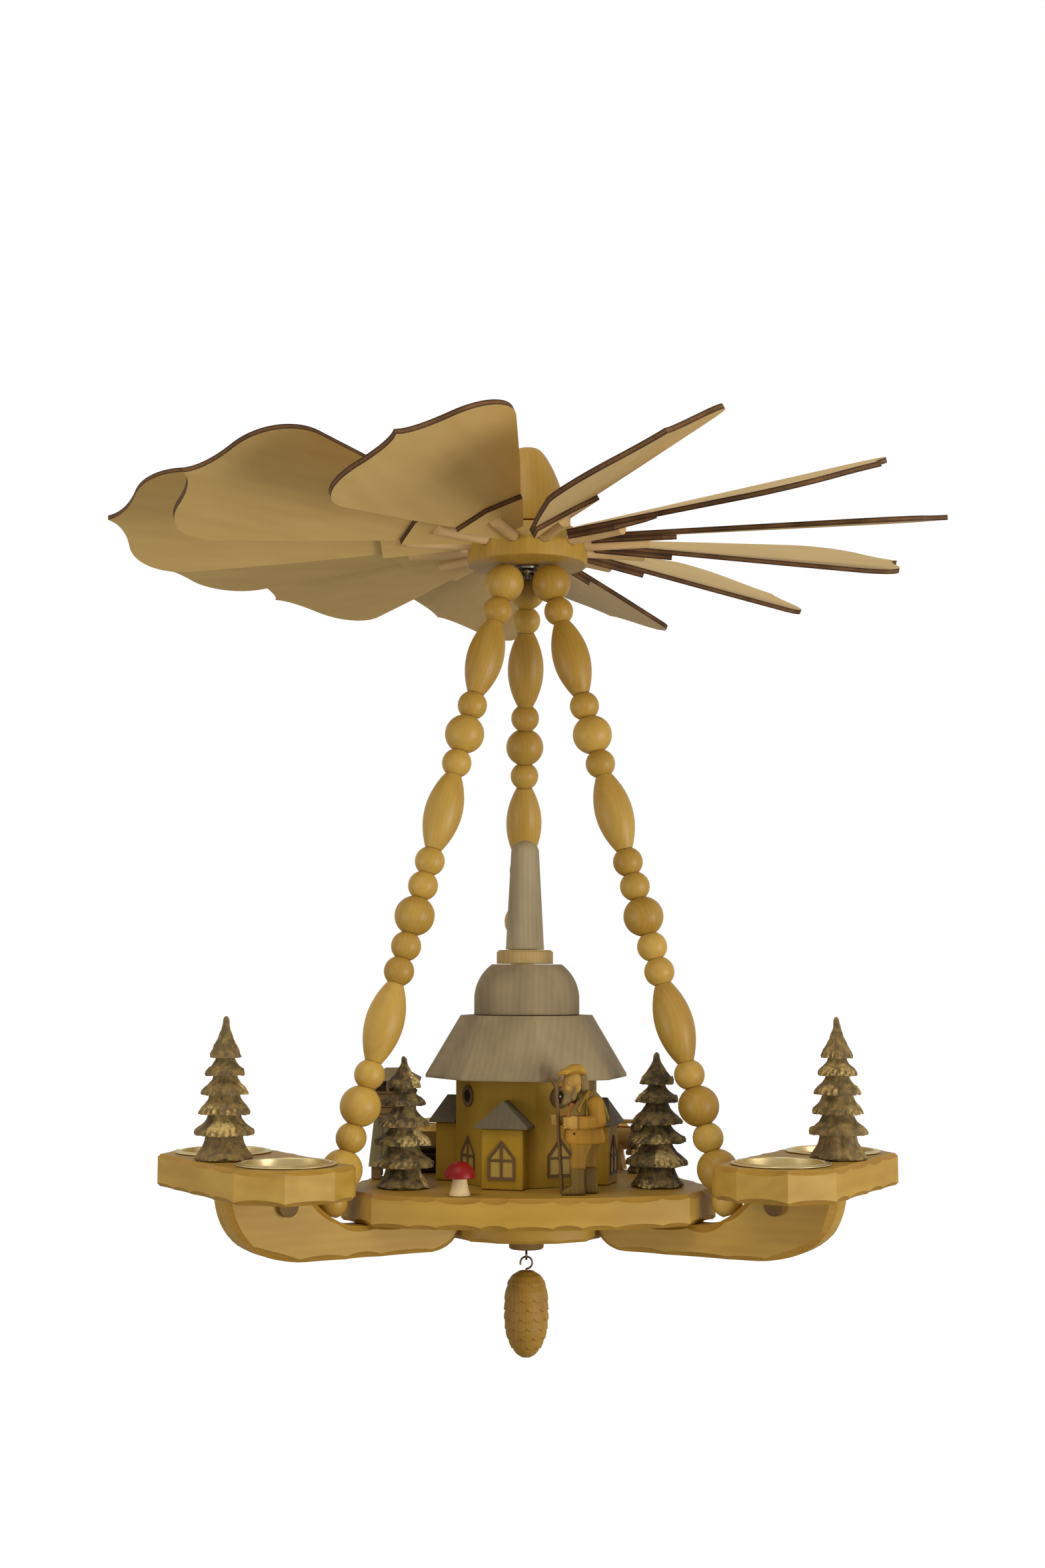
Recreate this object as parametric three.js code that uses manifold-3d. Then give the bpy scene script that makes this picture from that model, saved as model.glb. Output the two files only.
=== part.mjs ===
import * as THREE from 'three';
import { mergeVertices } from 'three/addons/utils/BufferGeometryUtils.js';
import { ConvexGeometry } from 'three/addons/geometries/ConvexGeometry.js';
import Module from 'manifold-3d';

const wasm = await Module();
wasm.setup();

// A hanging candle carousel in turned, sawn and carved wood. A bell with a steel spindle hangs still;
// the blade wheel, three strings of beads and the lower tier with its candles turn below it as one.
// Lengths are millimetres, +Z is up, -Y is the front, and the origin is the top centre of the bell.

// Fits between pieces
const gap = 0.3;
const runningClearance = 0.3;
const glueDepth = 0.2;
const overrun = 1;

// Suspension: bell, spindle, washer and nut
const bellFootRadius = 22.5;
const bellFootHeight = 9.7;
const bellStep = 1.7;
const bellTopRadius = 3.7;
const bellHeight = 42.2;
const bellGap = 1.8;
const spindleRadius = 2;
const spindleInBell = 15;
const spindleBelowNut = 1.5;
const washerRadius = 6;
const washerThickness = 1.6;
const nutAcrossFlats = 7;
const nutThickness = 3.2;

// Blade wheel
const bladeCount = 12;
const hubRadius = 31.4;
const hubTopRadius = 27;
const hubHeight = 18.5;
const hubEdge = 1.2;
const pegHeight = 9.6;
const pegRadius = 3;
const pegInHub = 12;
const pegTipRadius = 65;
const plywood = 2.6;
const bladeRoot = 35.4;
const bladeRootHalfWidth = 8.3;
const bladeShoulder = 170;
const bladeShoulderHalfWidth = 43.7;
const bladeWaist = 203.9;
const bladeWaistHalfWidth = 24.2;
const bladeTip = 216;
const rootPlateShoulder = 74;
const rootPlatePoint = 79;
const rootPlateAbovePeg = 0.7;
const firstBladeAzimuth = 14.2;
const bladePitches = [19.9, 25.5, 21.4, 24.9, 14.9, 9.3, 21.1, 23.9, 24.2, 29.8, 19.7, 12.5];

// Strings of beads, from the top bead down: large, small and olive beads on a cord
const stringAzimuths = [90, 210, 330];
const stringOrder = 'LSOSLSOSSLSSOSLSLS';
const smallBeadRadius = 7.5;
const smallBeadLength = 12.96;
const largeBeadRadius = 10.03;
const largeBeadLength = 18.64;
const oliveRadius = 9.6;
const oliveEndRadius = 4.2;
const oliveLength = 39.7;
const stringTopRadius = 14.13;
const stringFootRadius = 109.8;
const stringSeatRise = 3.3;
const stringSag = 1.5;

// Arms
const armThickness = 18;
const armEdge = 1.5;
const armOuter = 173.5;
const armDepth = 16.2;
const armTopFlatEnd = 98;
const armTopRise = 127;
const armBottomEnd = 122;
const armHeelRun = 17;
const armHeelRise = 11;
const armDowelRadius = 4.4;
const armDowelProud = 3;
const armDowelStation = 136;
const armDowelDrop = 7.2;

// Candle trays
const trayThickness = 15.3;
const trayEdge = 2;
const trayInner = 123;
const trayInnerHalfWidth = 50.5;
const trayInnerCorner = 126.5;
const trayInnerCornerHalfWidth = 55.5;
const trayWidest = 137;
const trayHalfWidth = 67.4;
const trayOuterCorner = 164.6;
const trayOuterCornerHalfWidth = 64.1;
const trayOuter = 180.6;
const trayOuterHalfWidth = 45.5;
const trayLift = 18.5;
const cupStation = 150.8;
const cupSpread = 35.9;
const cupFlangeRadius = 23.25;
const cupFlange = 0.9;
const cupLip = 1.6;
const cupBodyRadius = 20.4;
const cupDepth = 11.5;
const cupWall = 0.6;
const trayTreeStation = 164;

// Figure plate, base block, cap, screw eye, hook and cone
const figurePlateThickness = 15;
const figurePlateEdge = 2;
const figurePlateSide = 80;
const figurePlateFlat = 97;
const figurePlateFlatHalfWidth = 16;
const baseThickness = 10.4;
const baseEdge = 1.5;
const baseSide = 45;
const baseFlat = 42.6;
const baseFlatHalfWidth = 15.8;
const capRadius = 8.85;
const capHeight = 7.8;
const capEdge = 1.2;
const eyeWireRadius = 0.55;
const eyeRadius = 2.05;
const eyeShank = 0.8;
const hookWireRadius = 0.5;
const hookRadius = 3;
const hookShank = 0.9;
const coneRadius = 11.6;
const coneHeight = 42.5;
const coneRows = 7;
const coneStep = 1.1;

// Church
const churchFaces = 8;
const churchCornerAzimuth = 275;
const bodyCornerRadius = 36.3;
const bodyHeight = 52;
const roofBottomCornerRadius = 51.9;
const roofTopCornerRadius = 34.1;
const roofLip = 1.5;
const roofHeight = 31.4;
const domeRadius = 27;
const domeTopRadius = 17.8;
const domeHeight = 25.5;
const collarRadius = 14.5;
const collarHeight = 7;
const collarEdge = 1;
const spireFootRadius = 9.85;
const spireTopRadius = 7.2;
const spireHeight = 55;
const annexFaces = [[1, 'front'], [7, 'left'], [3, 'right']];
const annexWidth = 21;
const annexReach = 11.4;
const annexWallHeight = 29;
const annexRoofWidth = 27.4;
const annexRoofReach = 14.2;
const annexRoofHeight = 13.4;
const annexRidgeReach = 9;
const annexRoofLip = 1;
const windowProud = 0.8;
const windowHeight = 18;
const windowWidth = 12.5;
const windowSpring = 10;
const windowSill = 5;
const roundWindowRadius = 5.3;
const roundWindowHeight = 43.6;

// Trees
const treeHeight = 66;
const treeRadius = 13.5;
const smallTreeHeight = 30;
const smallTreeRadius = 8.5;
const plateTreePlaces = [[-62, -31], [64.5, -28]];
const smallTreePlace = [58, 40];

// Walker, stick, toadstool, deer and raised hide
const walkerPlace = [25, -60];
const walkerHeight = 61;
const stickFoot = [15, -48];
const stickHeight = 56;
const stickRadius = 1.1;
const stickLean = [-3, -5];
const stickFork = 2.2;
const toadstoolPlace = [-34, -66];
const toadstoolCapRadius = 7.4;
const toadstoolCapHeight = 7.4;
const toadstoolStemRadius = 5.2;
const toadstoolStemTopRadius = 3.4;
const toadstoolStemHeight = 8.5;
const deerPlace = [50, 58];
const deerLength = 30;
const hidePlace = [-68, 18];
const hideHeight = 56;

const fullTurn = 2 * Math.PI;
const radians = THREE.MathUtils.degToRad;

// Merges shared corners and drops the slivers that a revolved profile leaves on its axis.
function closed(geometry) {
  const bare = geometry.clone();
  bare.deleteAttribute('normal');
  bare.deleteAttribute('uv');
  const merged = mergeVertices(bare, 1e-4);
  const index = [];
  for (let i = 0; i < merged.index.count; i += 3) {
    const [a, b, c] = [0, 1, 2].map((k) => merged.index.getX(i + k));
    if (a !== b && b !== c && c !== a) index.push(a, b, c);
  }
  merged.setIndex(index);
  return merged;
}

function toManifold(geometry) {
  const mesh = closed(geometry);
  return new wasm.Manifold(new wasm.Mesh({
    numProp: 3,
    vertProperties: new Float32Array(mesh.attributes.position.array),
    triVerts: new Uint32Array(mesh.index.array),
  }));
}

function fromManifold(manifold) {
  const mesh = manifold.getMesh();
  const geometry = new THREE.BufferGeometry();
  geometry.setAttribute('position', new THREE.BufferAttribute(mesh.vertProperties, 3));
  geometry.setIndex(new THREE.BufferAttribute(mesh.triVerts, 1));
  return geometry;
}

function join(geometries) {
  return fromManifold(geometries.map(toManifold).reduce((sum, part) => sum.add(part)));
}

function cut(geometry, cutters) {
  return fromManifold(cutters.map(toManifold).reduce((rest, tool) => rest.subtract(tool), toManifold(geometry)));
}

// A solid of revolution about +Z; the profile runs from the axis at the bottom round to the axis.
function revolve(profile, sides) {
  const points = profile.map(([radius, height]) => new THREE.Vector2(radius, height));
  return closed(new THREE.LatheGeometry(points, sides)).rotateX(Math.PI / 2);
}

function disc(radius, height, sides, topRadius = radius) {
  return revolve([[0, 0], [radius, 0], [topRadius, height], [0, height]], sides);
}

// A plate standing on z = 0 with its outline in the XY plane and a chamfer of the given size on both edges.
function plate(shape, thickness, edge, curveSegments = 6) {
  const geometry = new THREE.ExtrudeGeometry(shape, {
    depth: thickness - 2 * edge,
    bevelEnabled: edge > 0,
    bevelSize: edge,
    bevelOffset: -edge,
    bevelThickness: edge,
    bevelSegments: 1,
    curveSegments,
  });
  return geometry.translate(0, 0, edge);
}

function polygon(points) {
  return new THREE.Shape(points.map(([x, y]) => new THREE.Vector2(x, y)));
}

function mirrored(points) {
  return [...points, ...points.map(([x, y]) => [x, -y]).reverse()];
}

// A round bar between two points, with its own radius at each end.
function bar(from, to, radius, endRadius = radius, sides = 6) {
  const start = new THREE.Vector3(...from);
  const axis = new THREE.Vector3(...to).sub(start);
  const turn = new THREE.Quaternion().setFromUnitVectors(new THREE.Vector3(0, 0, 1), axis.clone().normalize());
  return disc(radius, axis.length(), sides, endRadius).applyQuaternion(turn).translate(...start);
}

function block(width, depth, height) {
  return new THREE.BoxGeometry(width, depth, height).translate(0, 0, height / 2);
}

function ball(radius, widthSegments = 10, heightSegments = 7) {
  return new THREE.SphereGeometry(radius, widthSegments, heightSegments).rotateX(Math.PI / 2);
}

function wire(curve, radius, sides, steps) {
  const section = new THREE.Shape();
  for (let i = 0; i < sides; i += 1) {
    const angle = (i / sides) * fullTurn;
    const corner = [radius * Math.cos(angle), radius * Math.sin(angle)];
    if (i === 0) section.moveTo(...corner);
    else section.lineTo(...corner);
  }
  return new THREE.ExtrudeGeometry(section, { extrudePath: curve, steps, bevelEnabled: false });
}

const object = new THREE.Group();

function material(color, roughness, metalness = 0) {
  return new THREE.MeshStandardMaterial({ color, roughness, metalness });
}

const limewood = material(0xc9a665, 0.62);
const beech = material(0xd0a55c, 0.55);
const plywoodBirch = material(0xcdb083, 0.7);
const greyWash = material(0x8d8478, 0.75);
const yellowWash = material(0xb8933a, 0.7);
const greenBrown = material(0x7c6c4a, 0.85);
const carvedWood = material(0xb98d4e, 0.7);
const brass = material(0xc0a050, 0.3, 1);
const steel = material(0x8f8a80, 0.4, 1);
const redPaint = material(0xb8231c, 0.35);
const darkStain = material(0x4b3a2a, 0.8);

function add(parent, name, geometry, surface, place = [0, 0, 0]) {
  const mesh = new THREE.Mesh(geometry, surface);
  mesh.name = name;
  mesh.position.set(...place);
  parent.add(mesh);
  return mesh;
}

function group(parent, place = [0, 0, 0], azimuth = 0) {
  const holder = new THREE.Group();
  holder.position.set(...place);
  holder.rotation.z = radians(azimuth);
  parent.add(holder);
  return holder;
}

// Levels of the main faces, measured from the hub's underside
const hubUnderside = -(bellHeight + bellGap + hubHeight);
const stringLengths = { S: smallBeadLength, L: largeBeadLength, O: oliveLength };
const stringLength = [...stringOrder].reduce((sum, bead) => sum + stringLengths[bead], 0);
const topBeadCentre = -(largeBeadRadius + gap);
const beadCentresApart = stringLength - (largeBeadLength + smallBeadLength) / 2;
const footBeadCentre = topBeadCentre - Math.sqrt(beadCentresApart ** 2 - (stringFootRadius - stringTopRadius) ** 2);
const armTop = footBeadCentre - smallBeadRadius - gap - stringSeatRise;
const armBottom = armTop - armDepth;
const figurePlateBottom = armTop + gap;
const figurePlateTop = figurePlateBottom + figurePlateThickness;
const trayBottom = armTop + trayLift;
const trayTop = trayBottom + trayThickness;

// Suspension

function bellGeometry() {
  const flank = new THREE.CubicBezierCurve(
    new THREE.Vector2(bellFootRadius - bellStep, bellFootHeight),
    new THREE.Vector2(bellFootRadius - 2 * bellStep, bellFootHeight + (bellHeight - bellFootHeight) / 3),
    new THREE.Vector2((bellFootRadius + bellTopRadius) / 2, bellHeight),
    new THREE.Vector2(bellTopRadius, bellHeight),
  ).getPoints(6).map((point) => [point.x, point.y]);
  const bore = spindleRadius + gap;
  return revolve([
    [0, spindleInBell + gap],
    [bore, spindleInBell + gap],
    [bore, 0],
    [bellFootRadius, 0],
    [bellFootRadius, bellFootHeight],
    ...flank,
    [0, bellHeight],
  ], 20);
}

function ring(outerRadius, innerRadius, height, sides) {
  return cut(disc(outerRadius, height, sides), [
    disc(innerRadius, height + 2 * overrun, sides).translate(0, 0, -overrun),
  ]);
}

const washerTop = hubUnderside - gap;
const nutTop = washerTop - washerThickness - gap;
const spindleFoot = nutTop - nutThickness - spindleBelowNut;
const spindleHead = -bellHeight + spindleInBell;

add(object, 'suspension_bell', bellGeometry(), limewood, [0, 0, -bellHeight]);
add(object, 'spindle', disc(spindleRadius, spindleHead - spindleFoot, 16), steel, [0, 0, spindleFoot]);
add(object, 'thrust_washer', ring(washerRadius, spindleRadius + gap, washerThickness, 12), steel,
  [0, 0, washerTop - washerThickness]);
add(object, 'lock_nut', cut(disc(nutAcrossFlats / Math.sqrt(3), nutThickness, 6), [
  disc(spindleRadius + gap, nutThickness + 2 * overrun, 16).translate(0, 0, -overrun),
]), steel, [0, 0, nutTop - nutThickness]);

// Blade wheel

const carousel = group(object, [0, 0, hubUnderside]);

function alongX(geometry) {
  return geometry.rotateY(Math.PI / 2);
}

function hubGeometry() {
  const bore = spindleRadius + runningClearance;
  const body = revolve([
    [bore, 0],
    [hubRadius - hubEdge, 0],
    [hubRadius, hubEdge],
    [hubRadius, pegHeight],
    [hubTopRadius, hubHeight],
    [bore, hubHeight],
    [bore, 0],
  ], 2 * bladeCount).rotateZ(radians(firstBladeAzimuth + 90 / bladeCount));
  const sockets = [];
  for (let i = 0; i < bladeCount; i += 1) {
    const socket = alongX(disc(pegRadius + runningClearance, pegInHub + overrun, 10));
    socket.translate(hubRadius - pegInHub, 0, pegHeight);
    sockets.push(socket.rotateZ(radians(firstBladeAzimuth + (i * 360) / bladeCount)));
  }
  return cut(body, sockets);
}

function bladeShape() {
  const shoulderReach = (bladeWaist - bladeShoulder) / 2.2;
  const shoulderRise = shoulderReach * (bladeShoulderHalfWidth / bladeShoulder);
  const waistReach = (bladeWaist - bladeShoulder) / 10;
  const waistRise = (bladeShoulderHalfWidth - bladeWaistHalfWidth) * 0.8;
  const tipReach = (bladeTip - bladeWaist) / 4;
  const tipRise = bladeWaistHalfWidth / 5;
  const shape = new THREE.Shape();
  shape.moveTo(bladeRoot, -bladeRootHalfWidth);
  shape.lineTo(bladeShoulder, -bladeShoulderHalfWidth);
  shape.bezierCurveTo(bladeShoulder + shoulderReach, -bladeShoulderHalfWidth - shoulderRise,
    bladeWaist - waistReach, -bladeWaistHalfWidth - waistRise, bladeWaist, -bladeWaistHalfWidth);
  shape.quadraticCurveTo(bladeWaist + tipReach, -tipRise, bladeTip, 0);
  shape.quadraticCurveTo(bladeWaist + tipReach, tipRise, bladeWaist, bladeWaistHalfWidth);
  shape.bezierCurveTo(bladeWaist - waistReach, bladeWaistHalfWidth + waistRise,
    bladeShoulder + shoulderReach, bladeShoulderHalfWidth + shoulderRise, bladeShoulder, bladeShoulderHalfWidth);
  shape.lineTo(bladeRoot, bladeRootHalfWidth);
  shape.closePath();
  return shape;
}

// Blade, root plate and peg are glued together; local X runs out along the peg and z = 0 is the peg's axis.
function bladeGeometry() {
  const slope = (bladeShoulderHalfWidth - bladeRootHalfWidth) / (bladeShoulder - bladeRoot);
  const rootPlateHalfWidth = bladeRootHalfWidth + slope * (rootPlateShoulder - bladeRoot);
  const rootPlate = plate(polygon([
    [bladeRoot, -bladeRootHalfWidth],
    [rootPlateShoulder, -rootPlateHalfWidth],
    [rootPlatePoint, 0],
    [rootPlateShoulder, rootPlateHalfWidth],
    [bladeRoot, bladeRootHalfWidth],
  ]), plywood + glueDepth, 0).translate(0, 0, rootPlateAbovePeg);
  const blade = plate(bladeShape(), plywood, 0, 6).translate(0, 0, rootPlateAbovePeg + plywood);
  const pegInner = hubRadius - pegInHub + gap;
  const peg = alongX(disc(pegRadius, pegTipRadius - pegInner, 10)).translate(pegInner, 0, 0);
  return join([blade, rootPlate, peg]);
}

add(carousel, 'hub', hubGeometry(), limewood);
const bladeSolid = bladeGeometry();
for (let i = 0; i < bladeCount; i += 1) {
  const spoke = group(carousel, [0, 0, pegHeight], firstBladeAzimuth + (i * 360) / bladeCount);
  const blade = add(spoke, `blade_${String(i + 1).padStart(2, '0')}`, bladeSolid, plywoodBirch);
  blade.rotation.x = radians(bladePitches[i]);
}

// Strings of beads

// A bead's outline after its first ring, which it shares with the bead above; stations run down the string.
function beadProfile(kind) {
  const steps = { S: 3, L: 4, O: 6 }[kind];
  if (kind === 'O') {
    const belly = new THREE.QuadraticBezierCurve(
      new THREE.Vector2(oliveEndRadius, 0),
      new THREE.Vector2(2 * oliveRadius - oliveEndRadius, oliveLength / 2),
      new THREE.Vector2(oliveEndRadius, oliveLength),
    );
    return belly.getPoints(steps).slice(1).map((point) => [point.x, point.y]);
  }
  const radius = kind === 'L' ? largeBeadRadius : smallBeadRadius;
  const length = stringLengths[kind];
  const endAngle = Math.asin(length / 2 / radius);
  return Array.from({ length: steps }, (_, i) => {
    const angle = endAngle * ((2 * (i + 1)) / steps - 1);
    return [radius * Math.cos(angle), length / 2 + radius * Math.sin(angle)];
  });
}

// The beads are threaded tight, so the string is one turned chain; it hangs from the hub's underside out
// to the arm along local +X and sags a little inwards.
function stringGeometry() {
  const profile = [[0, 0], [oliveEndRadius, 0]];
  let station = 0;
  for (const kind of stringOrder) {
    for (const [radius, along] of beadProfile(kind)) profile.push([radius, station + along]);
    station += stringLengths[kind];
  }
  profile.push([0, stringLength]);
  const geometry = revolve(profile, 8);
  const down = new THREE.Vector3(stringFootRadius - stringTopRadius, 0, footBeadCentre - topBeadCentre).normalize();
  const side = new THREE.Vector3(0, 1, 0);
  const inward = side.clone().cross(down);
  const top = new THREE.Vector3(stringTopRadius, 0, topBeadCentre).addScaledVector(down, -largeBeadLength / 2);
  const position = geometry.attributes.position;
  const point = new THREE.Vector3();
  for (let i = 0; i < position.count; i += 1) {
    point.fromBufferAttribute(position, i);
    const share = point.z / stringLength;
    const sag = 4 * stringSag * share * (1 - share);
    const place = top.clone().addScaledVector(inward, point.x + sag);
    place.addScaledVector(side, point.y).addScaledVector(down, point.z);
    position.setXYZ(i, place.x, place.y, place.z);
  }
  return geometry;
}

const sideNames = ['back', 'left', 'right'];
const stringSolid = stringGeometry();
stringAzimuths.forEach((azimuth, i) => {
  add(group(carousel, [0, 0, 0], azimuth), `bead_string_${sideNames[i]}`, stringSolid, beech);
});

// Arms: local X runs outwards, the profile lies in the XZ plane

function armGeometry() {
  const armInner = baseFlat + gap;
  const shape = new THREE.Shape();
  const trayUnderside = trayBottom - gap;
  shape.moveTo(armInner, armTop);
  shape.lineTo(armInner, armBottom + armHeelRise);
  shape.quadraticCurveTo(armInner + armHeelRun / 4, armBottom, armInner + armHeelRun, armBottom);
  shape.lineTo(armBottomEnd, armBottom);
  shape.bezierCurveTo(
    armBottomEnd + (armOuter - armBottomEnd) * 0.7, armBottom,
    armOuter, armBottom + (trayUnderside - armBottom) * 0.55,
    armOuter, trayUnderside,
  );
  shape.lineTo(armTopRise, trayUnderside);
  shape.quadraticCurveTo((armTopRise + armTopFlatEnd) / 2, armTop, armTopFlatEnd, armTop);
  shape.closePath();
  const board = plate(shape, armThickness, armEdge, 5);
  board.rotateX(Math.PI / 2).translate(0, armThickness / 2, 0);
  const dowelLength = armThickness + 2 * armDowelProud;
  const dowel = disc(armDowelRadius, dowelLength, 14).rotateX(Math.PI / 2);
  dowel.translate(armDowelStation, dowelLength / 2, trayUnderside - armDowelDrop);
  const seat = ball(smallBeadRadius + gap, 10, 6).translate(stringFootRadius, 0, footBeadCentre);
  return cut(join([board, dowel]), [seat]);
}

function trayGeometry() {
  const half = [
    [trayInner, trayInnerHalfWidth],
    [trayInnerCorner, trayInnerCornerHalfWidth],
    [trayWidest, trayHalfWidth],
    [trayOuterCorner, trayOuterCornerHalfWidth],
    [trayOuter, trayOuterHalfWidth],
  ];
  const board = plate(polygon(mirrored(half).reverse()), trayThickness, trayEdge);
  const pocketDepth = cupDepth + gap;
  const pockets = [cupSpread, -cupSpread].map((side) => disc(cupBodyRadius + gap, pocketDepth + overrun, 16)
    .translate(cupStation, side, trayThickness - pocketDepth));
  return cut(board, pockets);
}

// A pressed cup: rolled flange, straight wall and flat floor; z = 0 is the underside of the flange.
function cupGeometry() {
  const inner = cupBodyRadius - cupWall;
  return revolve([
    [0, -cupDepth],
    [cupBodyRadius, -cupDepth],
    [cupBodyRadius, gap],
    [cupFlangeRadius, gap],
    [cupFlangeRadius, cupFlange],
    [cupBodyRadius + cupWall, cupLip],
    [inner, cupFlange],
    [inner, cupWall - cupDepth],
    [0, cupWall - cupDepth],
  ], 16);
}

// A carved tree: skirt, five drooping tiers and a pointed top, as shares of its radius and height.
const treeOutlineShares = [
  [0.93, 0], [1, 0.03], [0.6, 0.19],
  [0.97, 0.2], [0.52, 0.335],
  [0.89, 0.345], [0.44, 0.475],
  [0.8, 0.485], [0.38, 0.6],
  [0.72, 0.61], [0.3, 0.725],
  [0.54, 0.735], [0.22, 0.85], [0.08, 0.99],
];

function treeGeometry(radius, height, sides) {
  const outline = treeOutlineShares.map(([radiusShare, heightShare]) => [radius * radiusShare, height * heightShare]);
  return revolve([[0, 0], ...outline, [0, height]], sides);
}

const armSolid = armGeometry();
const traySolid = trayGeometry();
const cupSolid = cupGeometry();
const treeSolid = treeGeometry(treeRadius, treeHeight, 8);
stringAzimuths.forEach((azimuth, i) => {
  const arm = group(carousel, [0, 0, 0], azimuth);
  const side = sideNames[i];
  add(arm, `arm_${side}`, armSolid, limewood);
  add(arm, `tray_${side}`, traySolid, limewood, [0, 0, trayBottom]);
  add(arm, `candle_cup_${side}_a`, cupSolid, brass, [cupStation, cupSpread, trayTop]);
  add(arm, `candle_cup_${side}_b`, cupSolid, brass, [cupStation, -cupSpread, trayTop]);
  add(arm, `tray_tree_${side}`, treeSolid, greenBrown, [trayTreeStation, 0, trayTop + gap]);
});

// Figure plate and base block: three bowed sides with a flat facing each arm

function threeSidedShape(side, flat, flatHalfWidth) {
  const corner = (azimuth, across) => {
    const angle = radians(azimuth);
    return new THREE.Vector2(
      flat * Math.cos(angle) - across * Math.sin(angle),
      flat * Math.sin(angle) + across * Math.cos(angle),
    );
  };
  const reach = corner(stringAzimuths[0], flatHalfWidth).length();
  const halfChord = reach * Math.sin(radians(60) - Math.atan(flatHalfWidth / flat));
  const bow = side - reach * Math.cos(radians(60) - Math.atan(flatHalfWidth / flat));
  const bowRadius = (halfChord ** 2 + bow ** 2) / (2 * bow);
  const halfAngle = Math.asin(halfChord / bowRadius);
  const steps = 8;
  const points = [];
  stringAzimuths.forEach((azimuth) => {
    const middle = azimuth + 60;
    for (let i = 0; i <= steps; i += 1) {
      const swing = halfAngle * ((2 * i) / steps - 1);
      const out = side - bowRadius + bowRadius * Math.cos(swing);
      const across = bowRadius * Math.sin(swing);
      const angle = radians(middle);
      points.push([
        out * Math.cos(angle) - across * Math.sin(angle),
        out * Math.sin(angle) + across * Math.cos(angle),
      ]);
    }
  });
  return polygon(points);
}

const baseTop = armTop;
const baseBottom = baseTop - baseThickness;
const capTop = baseBottom - gap;
const capBottom = capTop - capHeight;
add(carousel, 'figure_plate',
  plate(threeSidedShape(figurePlateSide, figurePlateFlat, figurePlateFlatHalfWidth), figurePlateThickness, figurePlateEdge),
  limewood, [0, 0, figurePlateBottom]);
add(carousel, 'base_block', plate(threeSidedShape(baseSide, baseFlat, baseFlatHalfWidth), baseThickness, baseEdge),
  limewood, [0, 0, baseBottom]);
add(carousel, 'bottom_cap', revolve([
  [0, 0], [capRadius - capEdge, 0], [capRadius, capEdge], [capRadius, capHeight], [0, capHeight],
], 12), carvedWood, [0, 0, capBottom]);

// Screw eye in the YZ plane, and the cone's wire hook in the XZ plane hanging in it

class EyeCurve extends THREE.Curve {
  getPoint(t, target = new THREE.Vector3()) {
    const shankShare = 0.12;
    if (t < shankShare) return target.set(0, 0, eyeShank * (1 - t / shankShare));
    const angle = radians(90 + 335 * ((t - shankShare) / (1 - shankShare)));
    return target.set(0, eyeRadius * Math.cos(angle), -eyeRadius + eyeRadius * Math.sin(angle));
  }
}

class HookCurve extends THREE.Curve {
  getPoint(t, target = new THREE.Vector3()) {
    const shankShare = 0.16;
    if (t < shankShare) return target.set(0, 0, hookShank * (t / shankShare));
    const angle = radians(-90 + 290 * ((t - shankShare) / (1 - shankShare)));
    return target.set(hookRadius * Math.cos(angle), 0, hookShank + hookRadius + hookRadius * Math.sin(angle));
  }
}

const eyeTop = capBottom - gap;
const eyeWireLow = eyeTop - eyeShank - 2 * eyeRadius;
add(carousel, 'screw_eye', wire(new EyeCurve(), eyeWireRadius, 6, 16), steel, [0, 0, eyeTop - eyeShank]);

const hookLift = eyeWireLow + eyeWireRadius + gap + hookWireRadius;
const coneTop = hookLift - 2 * hookRadius - hookShank;
const pendant = group(carousel, [0, 0, coneTop]);
add(pendant, 'cone_hook', wire(new HookCurve(), hookWireRadius, 6, 16), steel);

// A cone carved in rows of scales, as shares of its radius
const coneOutlineShares = [0.42, 0.68, 0.86, 0.96, 1, 0.97, 0.84, 0.5];

function coneGeometry() {
  const rowHeight = coneHeight / (coneRows + 1);
  const profile = [[0, 0]];
  for (let row = 0; row <= coneRows; row += 1) {
    const radius = coneRadius * coneOutlineShares[row];
    profile.push([radius - coneStep, row * rowHeight + (row === 0 ? 0 : gap)]);
    profile.push([radius, (row + 0.55) * rowHeight]);
  }
  profile.push([coneRadius * coneOutlineShares[0], coneHeight], [0, coneHeight]);
  return revolve(profile, 10);
}

add(pendant, 'pine_cone', coneGeometry(), carvedWood, [0, 0, -coneHeight - gap]);

// Church, stacked on the plate's middle

const village = group(carousel, [0, 0, figurePlateTop + gap]);
const faceAzimuth = churchCornerAzimuth - 360 / churchFaces / 2;

function octagonal(bottomRadius, topRadius, height) {
  return disc(bottomRadius, height, churchFaces, topRadius).rotateZ(radians(churchCornerAzimuth) - Math.PI / 2);
}

// A pointed window: a frame with its panes, standing slightly proud of the wall; local X points out.
function pointedWindow() {
  const half = windowWidth / 2;
  const outline = polygon([[-half, 0], [half, 0], [half, windowSpring], [0, windowHeight], [-half, windowSpring]]);
  const frame = plate(outline, windowProud + glueDepth, 0);
  return frame.rotateX(Math.PI / 2).rotateZ(Math.PI / 2).translate(-glueDepth, 0, 0);
}

// Four walls carry a pointed window with a round one above it; the other four have an annex or stand between.
function churchBody() {
  const wall = bodyCornerRadius * Math.cos(Math.PI / churchFaces);
  const pieces = [octagonal(bodyCornerRadius, bodyCornerRadius, bodyHeight)];
  for (let i = 1; i < churchFaces; i += 2) {
    const azimuth = radians(faceAzimuth + (i * 360) / churchFaces);
    const round = alongX(disc(roundWindowRadius, windowProud + glueDepth, 12));
    pieces.push(round.translate(wall - glueDepth, 0, roundWindowHeight).rotateZ(azimuth));
    pieces.push(pointedWindow().translate(wall, 0, windowSill).rotateZ(azimuth));
  }
  return join(pieces);
}

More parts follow.
